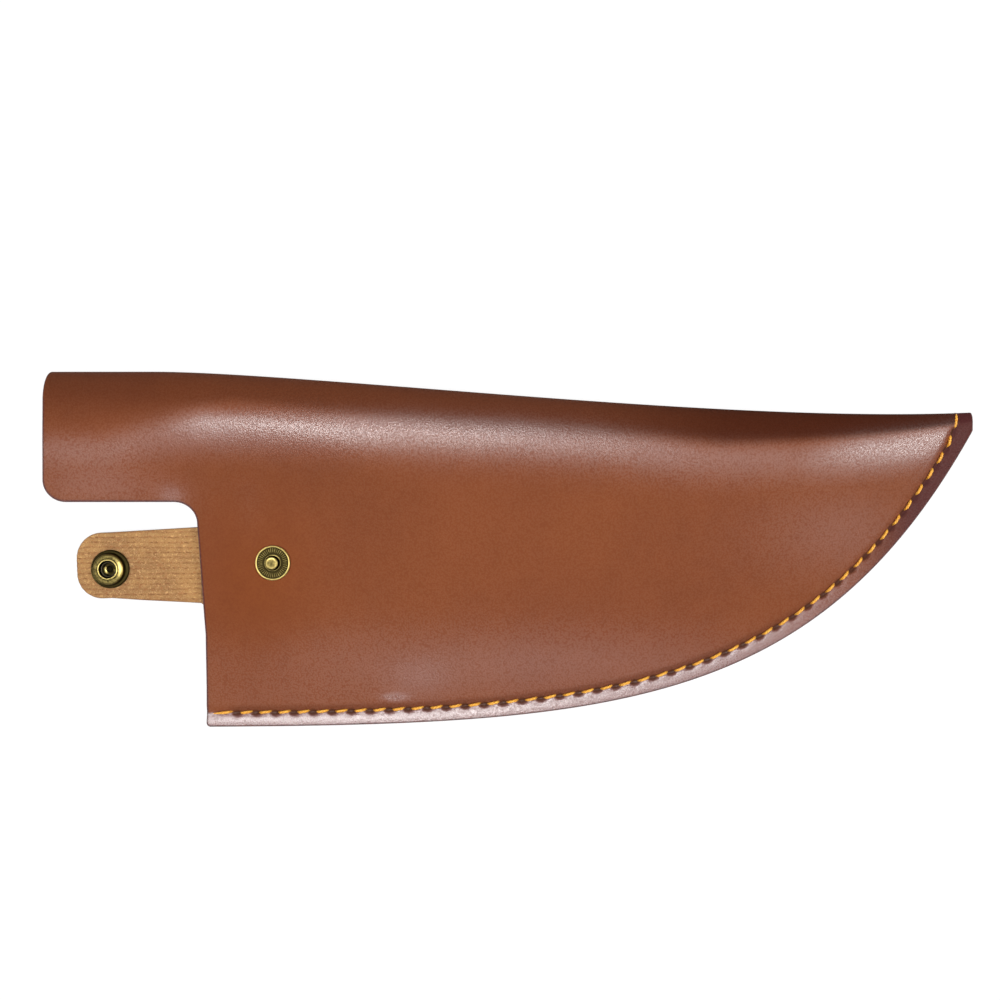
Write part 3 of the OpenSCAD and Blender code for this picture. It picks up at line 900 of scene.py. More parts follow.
outer_fold = fold_skin(False)
fold_depth, fold_dark, _, fold_out = front_details(outer_fold.reshape(-1, 3)[:, :2])
towards_front = np.tile(smooth(np.sin(angles)), len(band_x))
outer_fold[..., 2] += (fold_depth * towards_front).reshape(outer_fold.shape[:2])
inner_fold = fold_skin(True)
rows_n, cols_n = outer_fold.shape[:2]
print("fold band", rows_n, "by", cols_n)

# %% Join the skins into one blank


def rim_rings(outer, inner, out_way, radius, steps=3):
    """Rings of points round a cut edge, from just past its outer skin to just before its inner one."""
    through = outer - inner
    through = through / np.linalg.norm(through, axis=1, keepdims=True)
    theta = np.radians(np.linspace(0, 90, steps + 1)[1:])
    rings = []
    r = radius[:, None]
    for t in theta:
        rings.append(outer + out_way * r * math.sin(t) - through * r * (1 - math.cos(t)))
    for t in theta[::-1]:
        rings.append(inner + out_way * r * math.sin(t) + through * r * (1 - math.cos(t)))
    return rings


def lift(xy, z):
    return np.column_stack([xy, np.broadcast_to(z, (len(xy),))])


front_outer = lift(front_xy, z_front)
front_inner = lift(front_xy, front_top_z(front_xy) - leather_t)
back_along, back_out = near_line(back_xy)
back_gap = back_along - np.clip(np.round(back_along / pitch), 0, stitches) * pitch
back_groove = 0.95 * np.exp(-((back_out / 0.75) ** 2)) * smooth((back_along + 1) / 1.5)
back_groove = back_groove * (back_along < line_s[-1] + 0.5)
back_outer = lift(back_xy, back_groove)
back_inner = lift(back_xy, leather_t)

parts = [
    (front_outer, front_faces, 0),
    (front_inner, front_faces, 2),
    (back_outer, back_faces, 0),
    (back_inner, back_faces, 2),
    (outer_fold.reshape(-1, 3), grid_faces(0, rows_n, cols_n), 0),
    (inner_fold.reshape(-1, 3), grid_faces(0, rows_n, cols_n), 2),
]
starts = np.cumsum([0] + [len(p) for p, _, _ in parts])
all_points = np.vstack([p for p, _, _ in parts])
all_faces, all_slots = [], []
for start, (_, faces, slot_index) in zip(starts, parts):
    all_faces += [tuple(int(start + k) for k in f) for f in faces]
    all_slots += [slot_index] * len(faces)

tip_end = [(rows_n - 1) * cols_n + j for j in range(cols_n - 2, 0, -1)]
handle_end = list(range(1, cols_n - 1))
outer_loop = [starts[0] + k for k in front_edge] + [starts[4] + k for k in tip_end]
outer_loop += [starts[2] + k for k in back_edge[::-1]] + [starts[4] + k for k in handle_end]
inner_loop = [starts[1] + k for k in front_edge] + [starts[5] + k for k in tip_end]
inner_loop += [starts[3] + k for k in back_edge[::-1]] + [starts[5] + k for k in handle_end]
outer_loop, inner_loop = np.array(outer_loop), np.array(inner_loop)


def closed_normals(outline):
    """Outward plan directions of a panel outline, which is open along the fold."""
    top = (outline[0] + outline[-1]) / 2 + [0, 8]
    return outward_normals(np.vstack([outline, top]))[:-1]


front_way = closed_normals(front_outline)
back_way = closed_normals(back_outline)
root_keys = {tuple(np.round(p, 6)) for p in root_part}
back_radius = np.array([0.0 if tuple(np.round(p, 6)) in root_keys else rim_r for p in back_outline])
ends = np.zeros((len(tip_end), 2)) + [1, 0]
plan_way = np.vstack([front_way, ends, back_way[::-1], -ends])
for k in (0, len(front_outline) - 1):
    plan_way[k] = [-1, 0] if k == 0 else [1, 0]
first_back = len(front_outline) + len(ends)
plan_way[first_back] = [1, 0]
plan_way[first_back + len(back_outline) - 1] = [-1, 0]
rim_size = np.concatenate([np.full(len(front_outline) + len(ends), rim_r), back_radius[::-1], np.full(len(ends), rim_r)])
out_way = np.column_stack([plan_way, np.zeros(len(plan_way))])
rings = rim_rings(all_points[outer_loop], all_points[inner_loop], out_way, rim_size)
ring_start = len(all_points)
all_points = np.vstack([all_points] + rings)
loops = [outer_loop] + [ring_start + k * len(outer_loop) + np.arange(len(outer_loop)) for k in range(len(rings))]
loops.append(inner_loop)
for a, b in zip(loops, loops[1:]):
    for k in range(len(a)):
        n = (k + 1) % len(a)
        all_faces.append((int(a[k]), int(a[n]), int(b[n]), int(b[k])))
        all_slots.append(1)

values = {
    "hollow": np.zeros(len(all_points)),
    "rim": np.concatenate([np.zeros(ring_start), np.ones(len(all_points) - ring_start)]),
}
values["rim"][outer_loop] = 0.9
# Painted shade in the stitch holes, on the front skin and on the fold band.
values["hollow"][: len(dark)] = dark
values["hollow"][starts[4] : starts[5]] = fold_dark * towards_front
past = d_front - crest_reach(front_xy[:, 0])


def crest_finish(x, past):
    """How polished the leather is, and how much painted shade it gets, at x and a distance past the crest."""
    peak = np.interp(x, [-120, -104, -90, -60, -30, 0, 25, 55, 85, 102], [14, 9.5, 5, 1, -3, -4, -2.5, 2.5, 4, 3])
    gloss = np.interp(x, [-120, -104, -90, 0, 25, 55, 82, 100, 118], [0.4, 0.6, 1, 1, 0.85, 0.55, 0.5, 0.95, 1.1])
    wide = np.where(past < peak, 4.5, 7.5)
    shine = gloss * np.exp(-(((past - peak) / wide) ** 2))
    share = -past / crest_reach(x)
    start = np.interp(x, [-130, -104, -90, -80, 40, 60], [-1.5, -0.9, -0.1, 0.1, 0.05, -0.1])
    width = np.interp(x, [-130, -104, -90], [2.0, 1.2, 0.4])
    amount = np.interp(x, [-90, 20, 60, 120], [0.5, 0.56, 0.85, 0.92])
    return shine, amount * smooth((share - start) / width)


crest_shine, crest_shade = crest_finish(front_xy[:, 0], past)
within_row = 1 - smooth(out / 0.5)


def spot(x, y, wide, high):
    """A soft patch on the front panel round a point, with its half width and half height."""
    return np.exp(-(((front_xy[:, 0] - x) / wide) ** 2) - ((front_xy[:, 1] - y) / high) ** 2)


rubbed_spots = 0.35 * spot(10, -34, 60, 12) + spot(-35.4, -43.4, 3.6, 1.2)
rubbed_spots += 0.5 * spot(-100.7, 16.5, 4, 3) + 0.12 * spot(-78, 12, 5, 12) + 0.3 * spot(-118, 20, 24, 10)
rubbed_spots += 0.35 * spot(98, 4, 28, 14) + 0.3 * spot(-28, -38, 10, 6) + 0.6 * spot(126, 28, 9, 9)
rubbed_spots += 0.15 * smooth((-15 - front_xy[:, 1]) / 20)
near_stud = spot(-78, -8, 16, 26)
polish = np.zeros(len(all_points))
shine = np.clip(np.maximum(np.maximum(crest_shine, rubbed_spots) * within_row, margin), 0, 1)
polish[: len(front_xy)] = (shine - 0.25 * near_stud * (1 - shine)) * (1 - dark)
band_past = -crest_reach(band_x)[:, None] * np.cos(angles)
band_shine, band_shade = crest_finish(np.repeat(band_x[:, None], len(angles), 1), band_past)
band_within = 1 - smooth(fold_out / 0.5)
polish[starts[4] : starts[5]] = (band_shine * (np.sin(angles) > 0)).ravel() * band_within
values["polish"] = polish
# Painted shade on the fold near the tip.
band_tip_shade = smooth((np.repeat(band_x, len(angles)) - 98) / 22) * smooth(fold_out / 0.5)
values["rim"][starts[4] : starts[5]] = 0.9 * band_tip_shade * np.tile(np.sin(angles) > -0.2, len(band_x))
# Painted shade on the margin near the tip.
tip_shade = smooth((front_xy[:, 0] - 98) / 22) * smooth(out / 0.5)
# The pressed margin's tone is partly painted sheen, and fades towards the tip.
values["pressed"] = np.zeros(len(all_points))
values["pressed"][: len(front_xy)] = 0.65 * margin * (1 - 0.8 * tip_shade)
values["rim"][: len(front_xy)] = np.maximum(values["rim"][: len(front_xy)], 0.9 * tip_shade)
# Painted shade: on the fold above the crest, and in a band just inside the stitch row.
values["fold"] = np.zeros(len(all_points))
row_shade = np.exp(-(((out + 1.1) / 0.9) ** 2)) * smooth((front_xy[:, 0] + 88) / 6)
values["fold"][: len(front_xy)] = crest_shade + 0.3 * row_shade * (1 - smooth((front_xy[:, 0] - 60) / 40))
values["fold"][starts[4] : starts[5]] = (band_shade * smooth(np.sin(angles) + 1)).ravel()


def finish_mesh(name, points, faces, slots, materials, **values):
    """Makes the object, merges doubled points and turns every face outwards."""
    piece = make_mesh(name, points, faces, materials, slots, **values)
    work = bmesh.new()
    work.from_mesh(piece.data)
    bmesh.ops.remove_doubles(work, verts=work.verts, dist=0.002 * MM)
    bmesh.ops.delete(work, geom=[e for e in work.edges if not e.link_faces], context="EDGES")
    bmesh.ops.holes_fill(work, edges=[e for e in work.edges if len(e.link_faces) == 1], sides=0)
    bmesh.ops.recalc_face_normals(work, faces=work.faces)
    for face in work.faces:
        if len(face.verts) > 30:
            face.smooth = False
            for edge in face.edges:
                edge.smooth = False
    open_edges = sum(1 for e in work.edges if len(e.link_faces) != 2)
    work.to_mesh(piece.data)
    work.free()
    counts = len(piece.data.vertices), len(piece.data.polygons)
    print(name, counts[0], "points,", counts[1], "faces,", open_edges, "open edges")
    return piece


blank = finish_mesh(
    "leather_blank", all_points, all_faces, all_slots, [leather, cut_edge, backing], ribs=all_points[:, 1], **values
)
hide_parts("folded_body")
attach(blank, "root")

# %% [markdown]
# ## Strap
# The strap is cut in one with the back panel. It lies open, with its ribbed side up and the snap's
# socket in it. It is three pieces here, so that each can bend over one hinge of the frame. It is
# made here as three pieces, cut across the strap.

# %% Strap path
socket_box = [np.array(c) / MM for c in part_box("snap_socket")]
socket_at = (socket_box[0] + socket_box[1])[:2] / 2
flesh_z = float(socket_box[0][2])
socket_u = float((socket_at - stud_at) @ strap_u)
strap_tip = 10.1
strap_end_w = 19.5
tip_r = 7.5
strap_shift = 1.1
tip_u = socket_u + strap_tip
neck_l, span_l = 2.9639, 15.3221
open_slope = math.radians(8.17431)
fine = np.linspace(0, 40, 4001)
lean = smooth(fine / 4.0) * (1 - smooth((fine - 15.5) / 5.0))
rise = np.concatenate([[0], np.cumsum(np.diff(fine) * (lean[1:] + lean[:-1]) / 2)])
top_lean = math.asin((flesh_z - leather_t) / rise[-1])
slope = top_lean * lean
path_u = root_u + np.concatenate([[0], np.cumsum(np.diff(fine) * np.cos((slope[1:] + slope[:-1]) / 2))])
path_z = leather_t + np.concatenate([[0], np.cumsum(np.diff(fine) * np.sin((slope[1:] + slope[:-1]) / 2))])
strap_l = float(np.interp(tip_u, path_u, fine))
print("strap", round(strap_l, 2), "mm long, ends", round(float(path_z[-1]), 2), "mm up")


def strap_half(u, inset=0.0):
    """Half the strap's width at u, with its rounded tip."""
    straight = np.interp(u, [root_u, socket_u], [strap_root_w / 2, strap_end_w / 2]) - inset
    corner_u = tip_u - tip_r
    r = tip_r - inset
    share = np.clip((u - corner_u) / r, 0, 1)
    return straight - r + r * np.sqrt(1 - share**2)


def strap_piece(name, s_from, s_to, step):
    """One closed stretch of the strap, from s_from to s_to along its flesh side."""
    last = s_to >= strap_l
    u_from, u_to = (float(np.interp(s, fine, path_u)) for s in (s_from, s_to))
    if last:
        u_to = tip_u - rim_r
        u_row = np.arange(u_from, tip_u - tip_r, step)
        bend = np.sin(np.linspace(0, math.pi / 2, 30))
        u_row = np.concatenate([u_row, tip_u - tip_r + (tip_r - rim_r) * bend])
    else:
        u_row = np.linspace(u_from, u_to, int((u_to - u_from) / step) + 2)
    share = np.linspace(-1, 1, 111)
    half = strap_half(u_row, rim_r)
    shift = strap_shift * np.interp(u_row, [root_u, socket_u], [0, 1])
    u = np.repeat(u_row[:, None], len(share), 1)
    v = half[:, None] * share[None, :] + shift[:, None]
    s = np.interp(u, path_u, fine)
    lean_here = np.interp(s, fine, slope)
    z = np.interp(u, path_u, path_z)
    xy = stud_at + u[..., None] * strap_u + v[..., None] * strap_v
    drift = np.array([noise.noise(Vector((p[0] / 9, p[1] / 3, 7.0))) for p in xy.reshape(-1, 2)])
    knobs = np.array([noise.noise(Vector((p[0] / 1.1, p[1] / 1.1, 2.0))) for p in xy.reshape(-1, 2)])
    rib_y = xy[..., 1] + 0.4 * drift.reshape(u.shape) + 0.22 * knobs.reshape(u.shape)
    ribs = 0.07 * np.cos(2 * np.pi * rib_y / rib_pitch)
    up = np.stack([-np.sin(lean_here) * strap_u[0], -np.sin(lean_here) * strap_u[1], np.cos(lean_here)], -1)
    top = np.concatenate([xy, z[..., None]], -1)
    low = top - leather_t * up
    top = top + ribs[..., None] * up * 1.0 - 0.03 * up
    rows, cols = u.shape
    grid = np.arange(rows * cols).reshape(rows, cols)
    faces = grid_faces(0, rows, cols) + grid_faces(rows * cols, rows, cols)
    slots = [1] * ((rows - 1) * (cols - 1)) + [0] * ((rows - 1) * (cols - 1))
    right, left = grid[:, 0], grid[:, -1]
    tip_row = grid[-1, 1:-1] if last else []
    loop = np.concatenate([right, tip_row, left[::-1]]).astype(int)
    closing = grid[0, 1:-1][::-1]
    points = np.vstack([top.reshape(-1, 3), low.reshape(-1, 3)])
    plan_u = np.gradient(half, u_row)
    way_u = np.concatenate([-plan_u, np.ones(len(tip_row)), -plan_u[::-1]])
    way_v = np.concatenate([-np.ones(rows), np.zeros(len(tip_row)), np.ones(rows)])
    if last:
        turn = np.clip((u_row - (tip_u - tip_r)) / (tip_r - rim_r), 0, 1)
        way_u[:rows] = np.where(turn > 0, turn, way_u[:rows])
        way_v[:rows] = np.where(turn > 0, -np.sqrt(1 - turn**2), way_v[:rows])
        way_u[-rows:] = way_u[:rows][::-1]
        way_v[-rows:] = -way_v[:rows][::-1]
    plan = way_u[:, None] * strap_u + way_v[:, None] * strap_v
    plan = plan / np.linalg.norm(plan, axis=1, keepdims=True)
    out_way = np.column_stack([plan, np.zeros(len(plan))])
    low_loop = loop + rows * cols
    rings = rim_rings(points[loop], points[low_loop], out_way, np.full(len(loop), rim_r))
    first = len(points)
    points = np.vstack([points] + rings)
    chain = [loop] + [first + k * len(loop) + np.arange(len(loop)) for k in range(len(rings))] + [low_loop]
    for a, b in zip(chain, chain[1:]):
        for k in range(len(a) - 1):
            if last or k != rows - 1:
                faces.append((int(a[k]), int(a[k + 1]), int(b[k + 1]), int(b[k])))
                slots.append(1 if a is chain[0] or a is chain[1] else 2)
    near_cap = [int(k) for k in grid[0]] + [int(c[-1]) for c in chain[1:-1]]
    near_cap += [int(k) + rows * cols for k in grid[0][::-1]] + [int(c[0]) for c in chain[1:-1]][::-1]
    faces.append(tuple(near_cap))
    slots.append(1)
    caps = 1
    if not last:
        far_row = grid[-1]
        mid = len(right)
        far_cap = [int(k) for k in far_row] + [int(c[mid]) for c in chain[1:-1]]
        far_cap += [int(k) + rows * cols for k in far_row[::-1]] + [int(c[mid - 1]) for c in chain[1:-1]][::-1]
        faces.append(tuple(far_cap))
        slots.append(1)
        caps = 2
    rim = np.concatenate([np.zeros(first), np.ones(len(points) - first)])
    rim[loop] = 0.2
    rim[first : first + 2 * len(loop)] = 0.5
    rim[low_loop] = 0.75
    rib_value = np.concatenate([rib_y.ravel(), rib_y.ravel(), points[first:, 1]])
    piece = finish_mesh(
        name,
        points,
        faces,
        slots,
        [leather, backing, cut_edge],
        rim=rim,
        ribs=rib_value,
        hollow=np.zeros(len(points)),
        polish=np.full(len(points), 0.3),
    )
    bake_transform(piece)
    return piece


half_neck = neck_l / 2
strap_a = strap_piece("strap_root_piece", 0, half_neck, 0.25)
strap_b = strap_piece(
    "strap_wrap_piece",
    half_neck,
    3 * half_neck,
    0.25,
)
strap_c = strap_piece(
    "strap_end_piece",
    3 * half_neck,
    strap_l + 1,
    0.6,
)
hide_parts("strap_neck")
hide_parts("strap_span")
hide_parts("strap_end")

# %% [markdown]
# ## Threads
# The seam is a lockstitch of two thick three-ply threads. Each shows on its own side, dips into every
# hole, and crosses the other in the middle of the leather.

# %% Threads


def thread_path(face_z, hole_z, steps=22):
    """Middle line of one thread: along the stitches, down into each hole and up again."""
    points = []
    for k in range(stitches):
        share = np.linspace(0, 1, steps, endpoint=False)
        s = (k + share) * pitch
        rise = smooth((np.minimum(share, 1 - share) - 0.1) / 0.26)
        if k == 0:
            s = mix(-1.2, pitch, share)
            rise = np.where(share < 0.5, 1, rise)
        xy, way = on_line(np.clip(s, 0, line_s[-1]))
        xy = xy + np.minimum(s, 0)[:, None] * way
        slant = 0.25 * np.cos(np.pi * share)
        xy = xy + slant[:, None] * np.stack([way[:, 1], -way[:, 0]], -1)
        z = hole_z + (face_z - hole_z) * rise
        z = z + 0.05 * np.sin(np.pi * share) * np.sign(face_z - hole_z)
        points.append(np.column_stack([xy, z]))
    path = np.vstack(points)
    over = np.linspace(0, 1, steps // 2)
    path[-len(over) :, 1] += 0.3 * over**2
    path[-len(over) :, 2] = sewn_h / 2 + (face_z - sewn_h / 2) * np.sqrt(1 - over**2)
    return path


def twisted_tube(name, path, radius, lay, plies=3, sides=18, slim=None):
    """A thread of twisted plies along a path."""
    count = len(path)
    way = unit(np.gradient(path, axis=0))
    side = np.stack([-way[:, 1], way[:, 0], np.zeros(count)], 1)
    side = side / np.maximum(np.linalg.norm(side, axis=1, keepdims=True), 1e-6)
    up = np.cross(way, side)
    s = np.concatenate([[0], np.cumsum(np.linalg.norm(np.diff(path, axis=0), axis=1))])
    angle = np.linspace(0, 2 * np.pi, sides, endpoint=False)
    phase = angle[None, :] * plies + 2 * np.pi * plies * s[:, None] / lay
    lobe = np.abs(np.sin(phase / 2))
    r = radius * (0.84 + 0.16 * lobe)
    if slim is not None:
        r = r * slim[:, None]
    ring = r[..., None] * (np.cos(angle)[None, :, None] * side[:, None] + np.sin(angle)[None, :, None] * up[:, None])
    points = (path[:, None] + ring).reshape(-1, 3)
    faces = grid_faces(0, count, sides, closed_columns=True)
    faces.append(tuple(range(sides))[::-1])
    faces.append(tuple((count - 1) * sides + k for k in range(sides)))
    # Painted shade in the grooves between the plies.
    hollow = (1 - lobe).ravel() ** 2
    return points, faces, hollow


def make_thread(name, node, face_z, hole_z):
    path = thread_path(face_z, hole_z)
    share = np.abs(path[:, 2] - hole_z) / abs(face_z - hole_z)
    slim = 0.4 + 0.6 * np.clip(share, 0, 1)
    slim[:10] = np.linspace(0.35, 1, 10)
    points, faces, hollow = twisted_tube(name, path, 0.43, 3.4, slim=slim)
    # Painted shade where the thread sinks into each hole.
    sunk = np.repeat(1 - smooth((share - 0.25) / 0.5), len(points) // len(share))
    hollow = np.maximum(hollow * 0.6, sunk * 0.85)
    piece = finish_mesh(name, points, faces, [0] * len(faces), [thread_finish], hollow=hollow)
    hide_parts(node)
    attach(piece, "root")
    return piece


front_thread = make_thread("front_stitches", "needle_thread", sewn_h + 0.12, sewn_h / 2 + 0.3)
back_thread = make_thread("back_stitches", "bobbin_thread", 0.6, sewn_h / 2 - 0.3)

# %% [markdown]
# ## Snap
# The stud and the socket are pressed from thin brass sheet, so every corner is rounded and the rims
# are rolled. Each is a profile turned about its axis. Its third value is the wear on the rims, with
# painted highlights on one side and painted shade, near black, in the cavities.

# %% Turned parts


def rounded(profile, fillet, steps=4):
    """A profile of [radius, height, wear and painted light] points with its inner corners rounded."""
    p = np.asarray(profile, float)
    out = [p[0]]
    for a, b, c in zip(p, p[1:], p[2:]):
        da, dc = np.linalg.norm(a[:2] - b[:2]), np.linalg.norm(c[:2] - b[:2])
        r = min(fillet, da * 0.45, dc * 0.45)
        start = b + (a - b) * r / da
        stop = b + (c - b) * r / dc
        for t in np.linspace(0, 1, steps + 1):
            out.append((1 - t) ** 2 * start + 2 * t * (1 - t) * b + t * t * stop)
    out.append(p[-1])
    return np.array(out)


def turned(name, node, centre, z, profile, materials, body, fillet=0.12, sides=192, ticks=None, painted_highlights=()):
    """A profile spun about the upright axis. ticks: (inner radius, outer radius, count, depth).
    The last argument adds painted highlights on one side, as (inner radius, outer radius, angle, half spread,
    amount)."""
    rows = rounded(profile, fillet)
    angle = np.linspace(0, 2 * np.pi, sides, endpoint=False)
    radius = np.repeat(rows[:, 0][:, None], sides, 1)
    height = np.repeat(rows[:, 1][:, None], sides, 1)
    rub = np.repeat(rows[:, 2][:, None], sides, 1)
    if ticks:
        low_r, high_r, count, depth = ticks
        inside_ring = smooth((rows[:, 0] - low_r) / 0.15) * smooth((high_r - rows[:, 0]) / 0.15)
        inside_ring = inside_ring * (rows[:, 2] < 0.5)
        wave = np.maximum(0, np.cos(count * angle)) ** 2
        height = height + depth * inside_ring[:, None] * wave[None, :]
        rub = rub + 0.75 * inside_ring[:, None] * wave[None, :]
    # Painted highlights on one side of a ring.
    for low_r, high_r, at, spread, amount in painted_highlights:
        within = smooth((rows[:, 0] - low_r) / 0.1) * smooth((high_r - rows[:, 0]) / 0.1) * (rows[:, 1] > 0.3)
        turn = np.degrees(np.abs((angle - np.radians(at) + np.pi) % (2 * np.pi) - np.pi))
        rub = rub + amount * within[:, None] * (1 - smooth(turn / spread))[None, :]
    x = centre[0] + radius * np.cos(angle)
    y = centre[1] + radius * np.sin(angle)
    points = np.stack([x, y, z + height], -1).reshape(-1, 3)
    faces = grid_faces(0, len(rows), sides, closed_columns=True)
    piece = finish_mesh(name, points, faces, [0] * len(faces), materials, rubbed=rub.ravel())
    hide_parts(node)
    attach(piece, body)
    return piece


def dense(profile, step=0.35):
    """Extra points on the long runs of a profile, so that ticks have rows to bend."""
    out = [profile[0]]
    for a, b in zip(profile, profile[1:]):
        n = max(1, int(np.hypot(b[0] - a[0], b[1] - a[1]) / step))
        for k in range(1, n + 1):
            out.append([a[i] + (b[i] - a[i]) * k / n for i in range(3)])
    return out


socket_h, base_h, roll_r = 2.75, 0.9, 2.16
# Third numbers: wear on the rims; values below zero are painted shade in the cavities.
socket_profile = [
    [1.25, 0.01, 0], [5.45, 0.01, -0.3], [5.68, 0.25, -0.3], [5.68, 0.62, -0.1], [5.4, 0.86, -0.1],
    [4.85, 0.92, -0.3], [4.66, 1.15, -0.3], [4.58, 1.6, -0.2], [4.56, 2.0, 0.1], [4.42, 2.42, 0.4],
    [4.05, 2.62, 0.3], [3.6, 2.68, 0.2], [3.15, 2.66, 0.1], [3.03, 2.6, 0.0], [2.96, 2.7, 0.8],
    [2.84, 2.75, 1.1], [2.68, 2.74, 1.1], [2.58, 2.62, 0.8], [2.54, 2.4, -0.4], [2.5, 1.96, -1.0],
    [3.48, 1.94, -1], [3.48, 0.37, -1], [1.25, 0.36, -1], [1.25, 0.01, 0],
]
# Painted highlights: the face on the right, the lip and the base on the left.
socket_painted_highlights = [(3.3, 4.55, 5, 50, 0.9), (2.3, 3.0, 180, 90, 0.4), (4.7, 5.7, 200, 80, 0.3)]
socket = turned(
    "socket", "snap_socket", socket_at, flesh_z, socket_profile, [brass], "strap_end", 0.14, painted_highlights=socket_painted_highlights
)

stud_box = [np.array(c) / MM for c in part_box("snap_stud")]
stud_z = 4.2
# Third numbers as for the socket; the hollow round the neck is painted shade.
stud_profile = dense(
    [
        [1.26, -0.14, 0], [4.95, -0.14, 0.2], [5.18, 0.05, 0.5], [5.2, 0.4, 0.8], [5.1, 0.68, 1.0], [4.92, 0.79, 1.1],
        [4.7, 0.74, 1.0], [4.58, 0.52, 0.0], [4.45, 0.42, -0.3], [2.66, 0.42, -0.2], [2.5, 0.6, 0.0],
        [2.44, 0.77, 0.35], [2.28, 0.77, 0.3], [2.12, 0.68, -0.6], [1.64, 0.5, -1.0], [1.58, 1.0, -0.6],
        [1.6, 1.8, -0.2], [1.86, 1.98, 0.5], [1.88, 2.2, 0.8], [1.6, 2.38, 0.55], [0.9, 2.39, 0.2], [0.0, 2.39, 0.2],
    ]
)
stud_profile += [[0.0, 1.85, 0], [1.26, 1.85, 0], [1.26, -0.14, 0]]
stud = turned(
    "stud",
    "snap_stud",
    stud_at,
    stud_z,
    stud_profile,
    [brass],
    "root",
    0.08,
    288,
    (3.0, 4.5, 40, 0.08),
    # Painted highlights on the rim, the ring and the head.
    [(4.55, 5.2, 35, 60, 0.5), (4.55, 5.2, 215, 45, 0.4), (2.1, 2.6, 70, 70, 0.6), (1.2, 1.9, 90, 80, 0.5)],
)

# Third numbers as for the socket; the post's rolled end is painted shade down in the hole.
cap_profile = [
    [0, -2.6, 0.8], [2.5, -2.59, 0.8], [4.3, -2.36, 0.7], [5.6, -1.75, 0.6], [6.15, -0.95, 0.8], [6.2, -0.55, 0.9],
    [6.08, -0.2, 0.5], [5.9, 0, 0.1], [1.2, 0, 0], [1.2, 1.84, -0.8], [1.6, 1.88, -0.8], [2.12, 1.92, -0.7],
    [2.15, 2.06, -0.5], [2.0, 2.2, -0.4], [1.5, 2.25, -0.3], [1.05, 2.18, -0.3], [0.85, 2.0, -0.6],
    [0.8, 1.66, -0.8], [0, 1.66, -0.8],
]
# Painted highlight: a crescent on the post's rolled end.
cap_painted_highlights = [(1.0, 2.2, 200, 75, 1.2), (1.0, 2.1, 0, 60, 0.5)]
cap = turned(
    "cap", "snap_cap", socket_at, flesh_z - leather_t, cap_profile, [brass], "strap_end", 0.2, painted_highlights=cap_painted_highlights
)

# %% Spring and eyelet keep their CAD shape
spring_wire, tree, shader = new_material("spring wire")
shader.inputs["Metallic"].default_value = 1.0
# The wire is kept dark, as painted shade down in the socket.
shader.inputs["Base Color"].default_value = srgb(52, 47, 36)
shader.inputs["Roughness"].default_value = 0.4
for node, finish_of in (("socket_spring", spring_wire), ("stud_eyelet", brass)):
    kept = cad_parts[node]
    kept.data.materials.clear()
    kept.data.materials.append(finish_of)
    print(node, "has", finish_of.name)

# %% [markdown]
# ## Room, light and camera
# The photo was taken from straight above on white, with soft light. The floor gives a near-white
# picture and still takes the guard's shadow.

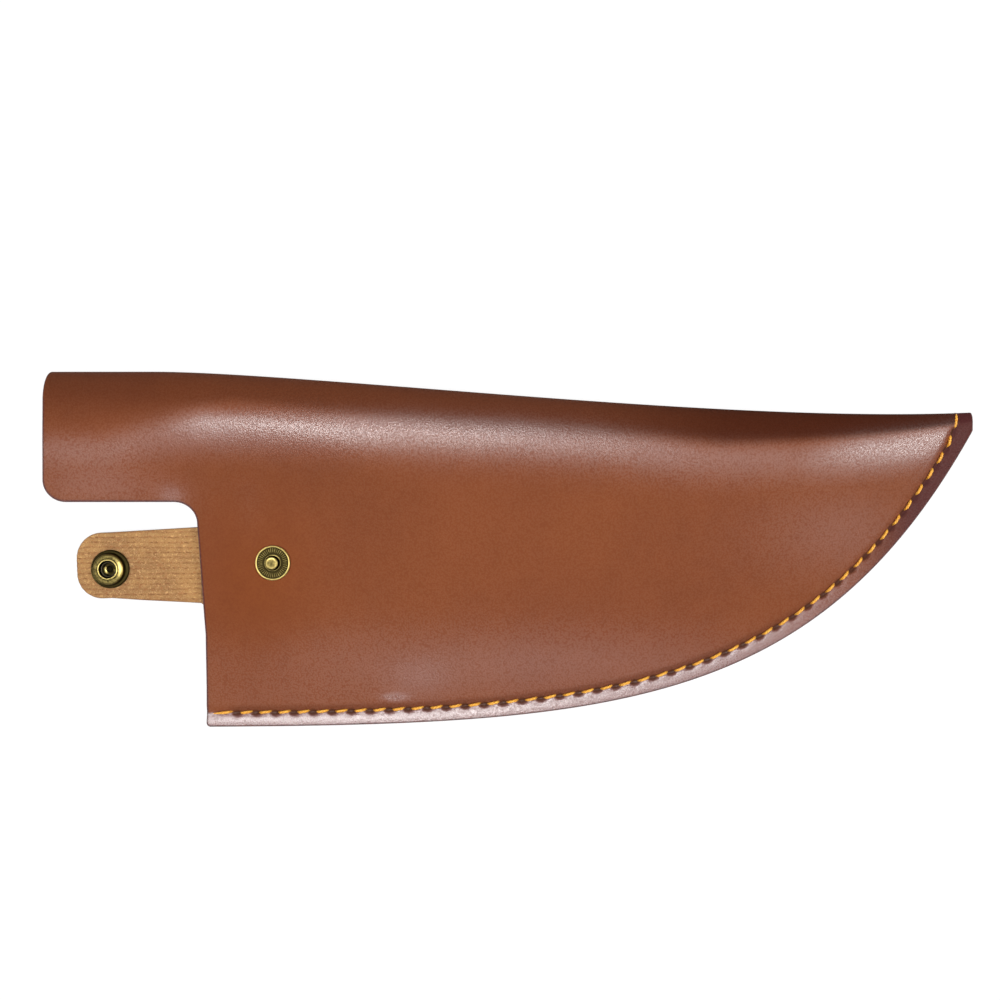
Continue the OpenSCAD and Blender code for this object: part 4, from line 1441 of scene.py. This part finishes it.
# %% Floor
floor_mesh = bpy.data.meshes.new("floor")
half = 2.5
floor_mesh.from_pydata([(-half, -half, 0), (half, -half, 0), (half, half, 0), (-half, half, 0)], [], [(0, 1, 2, 3)])
floor = bpy.data.objects.new("floor", floor_mesh)
bpy.context.scene.collection.objects.link(floor)
floor.location.z = -0.0002
white = bpy.data.materials.new("white floor")
white.use_nodes = True
tree = white.node_tree
tree.nodes.clear()
rays = add(tree, "ShaderNodeLightPath")
seen = maths(tree, "MAXIMUM", rays.outputs["Is Camera Ray"], rays.outputs["Is Glossy Ray"])
seen = maths(tree, "MAXIMUM", seen, rays.outputs["Is Transmission Ray"])
matt_white = add(tree, "ShaderNodeBsdfDiffuse", {"Color": (0.8, 0.8, 0.8, 1)})
bright_white = add(tree, "ShaderNodeEmission", {"Color": (1, 1, 1, 1), "Strength": 1.04})
share = maths(tree, "MULTIPLY", seen, 0.85)
blend_floor = add(tree, "ShaderNodeMixShader", {0: share, 1: matt_white.outputs[0], 2: bright_white.outputs[0]})
ending = add(tree, "ShaderNodeOutputMaterial", {"Surface": blend_floor.outputs[0]})
floor_mesh.materials.append(white)
print("floor ready")

# %% Lights
world = bpy.data.worlds.new("studio")
bpy.context.scene.world = world
world.use_nodes = True
tree = world.node_tree
tree.nodes["Background"].inputs["Color"].default_value = (1, 1, 1, 1)
rays = add(tree, "ShaderNodeLightPath")
backdrop = maths(tree, "MULTIPLY_ADD", rays.outputs["Is Camera Ray"], 0.87, 0.13)
tree.links.new(backdrop, tree.nodes["Background"].inputs["Strength"])


def soft_light(name, place, size, power, turn=0, aim=(0, 0, 0)):
    data = bpy.data.lights.new(name, "AREA")
    data.shape = "RECTANGLE"
    data.size, data.size_y = size
    data.energy = power
    lamp = bpy.data.objects.new(name, data)
    bpy.context.scene.collection.objects.link(lamp)
    lamp.location = place
    facing = (Vector(aim) - Vector(place)).to_track_quat("-Z", "Y")
    lamp.rotation_euler = (facing @ Quaternion((0, 0, 1), math.radians(turn))).to_euler()
    return lamp


soft_light("left window", (-0.28, -0.07, 0.75), (0.60, 0.15), 3.6, turn=63)
soft_light("top window", (0.0, 0.22, 0.75), (0.30, 0.13), 2.05)
soft_light("overhead", (0.0, -0.09, 0.75), (0.36, 0.17), 1.25)
soft_light("right", (0.71, -0.06, 0.75), (0.28, 0.24), 4.2)
soft_light("front", (0.03, -0.56, 0.75), (0.70, 0.20), 1.2)
print("lights ready")

# %% Camera
lens = bpy.data.cameras.new("camera")
lens.sensor_width = 36
lens.lens = 36
lens.clip_start = 0.01
camera = bpy.data.objects.new("camera", lens)
bpy.context.scene.collection.objects.link(camera)
camera.location = (-0.0045, 0.0149, 0.300)
bpy.context.scene.camera = camera
bpy.context.scene.view_settings.view_transform = "Standard"
print("camera ready")
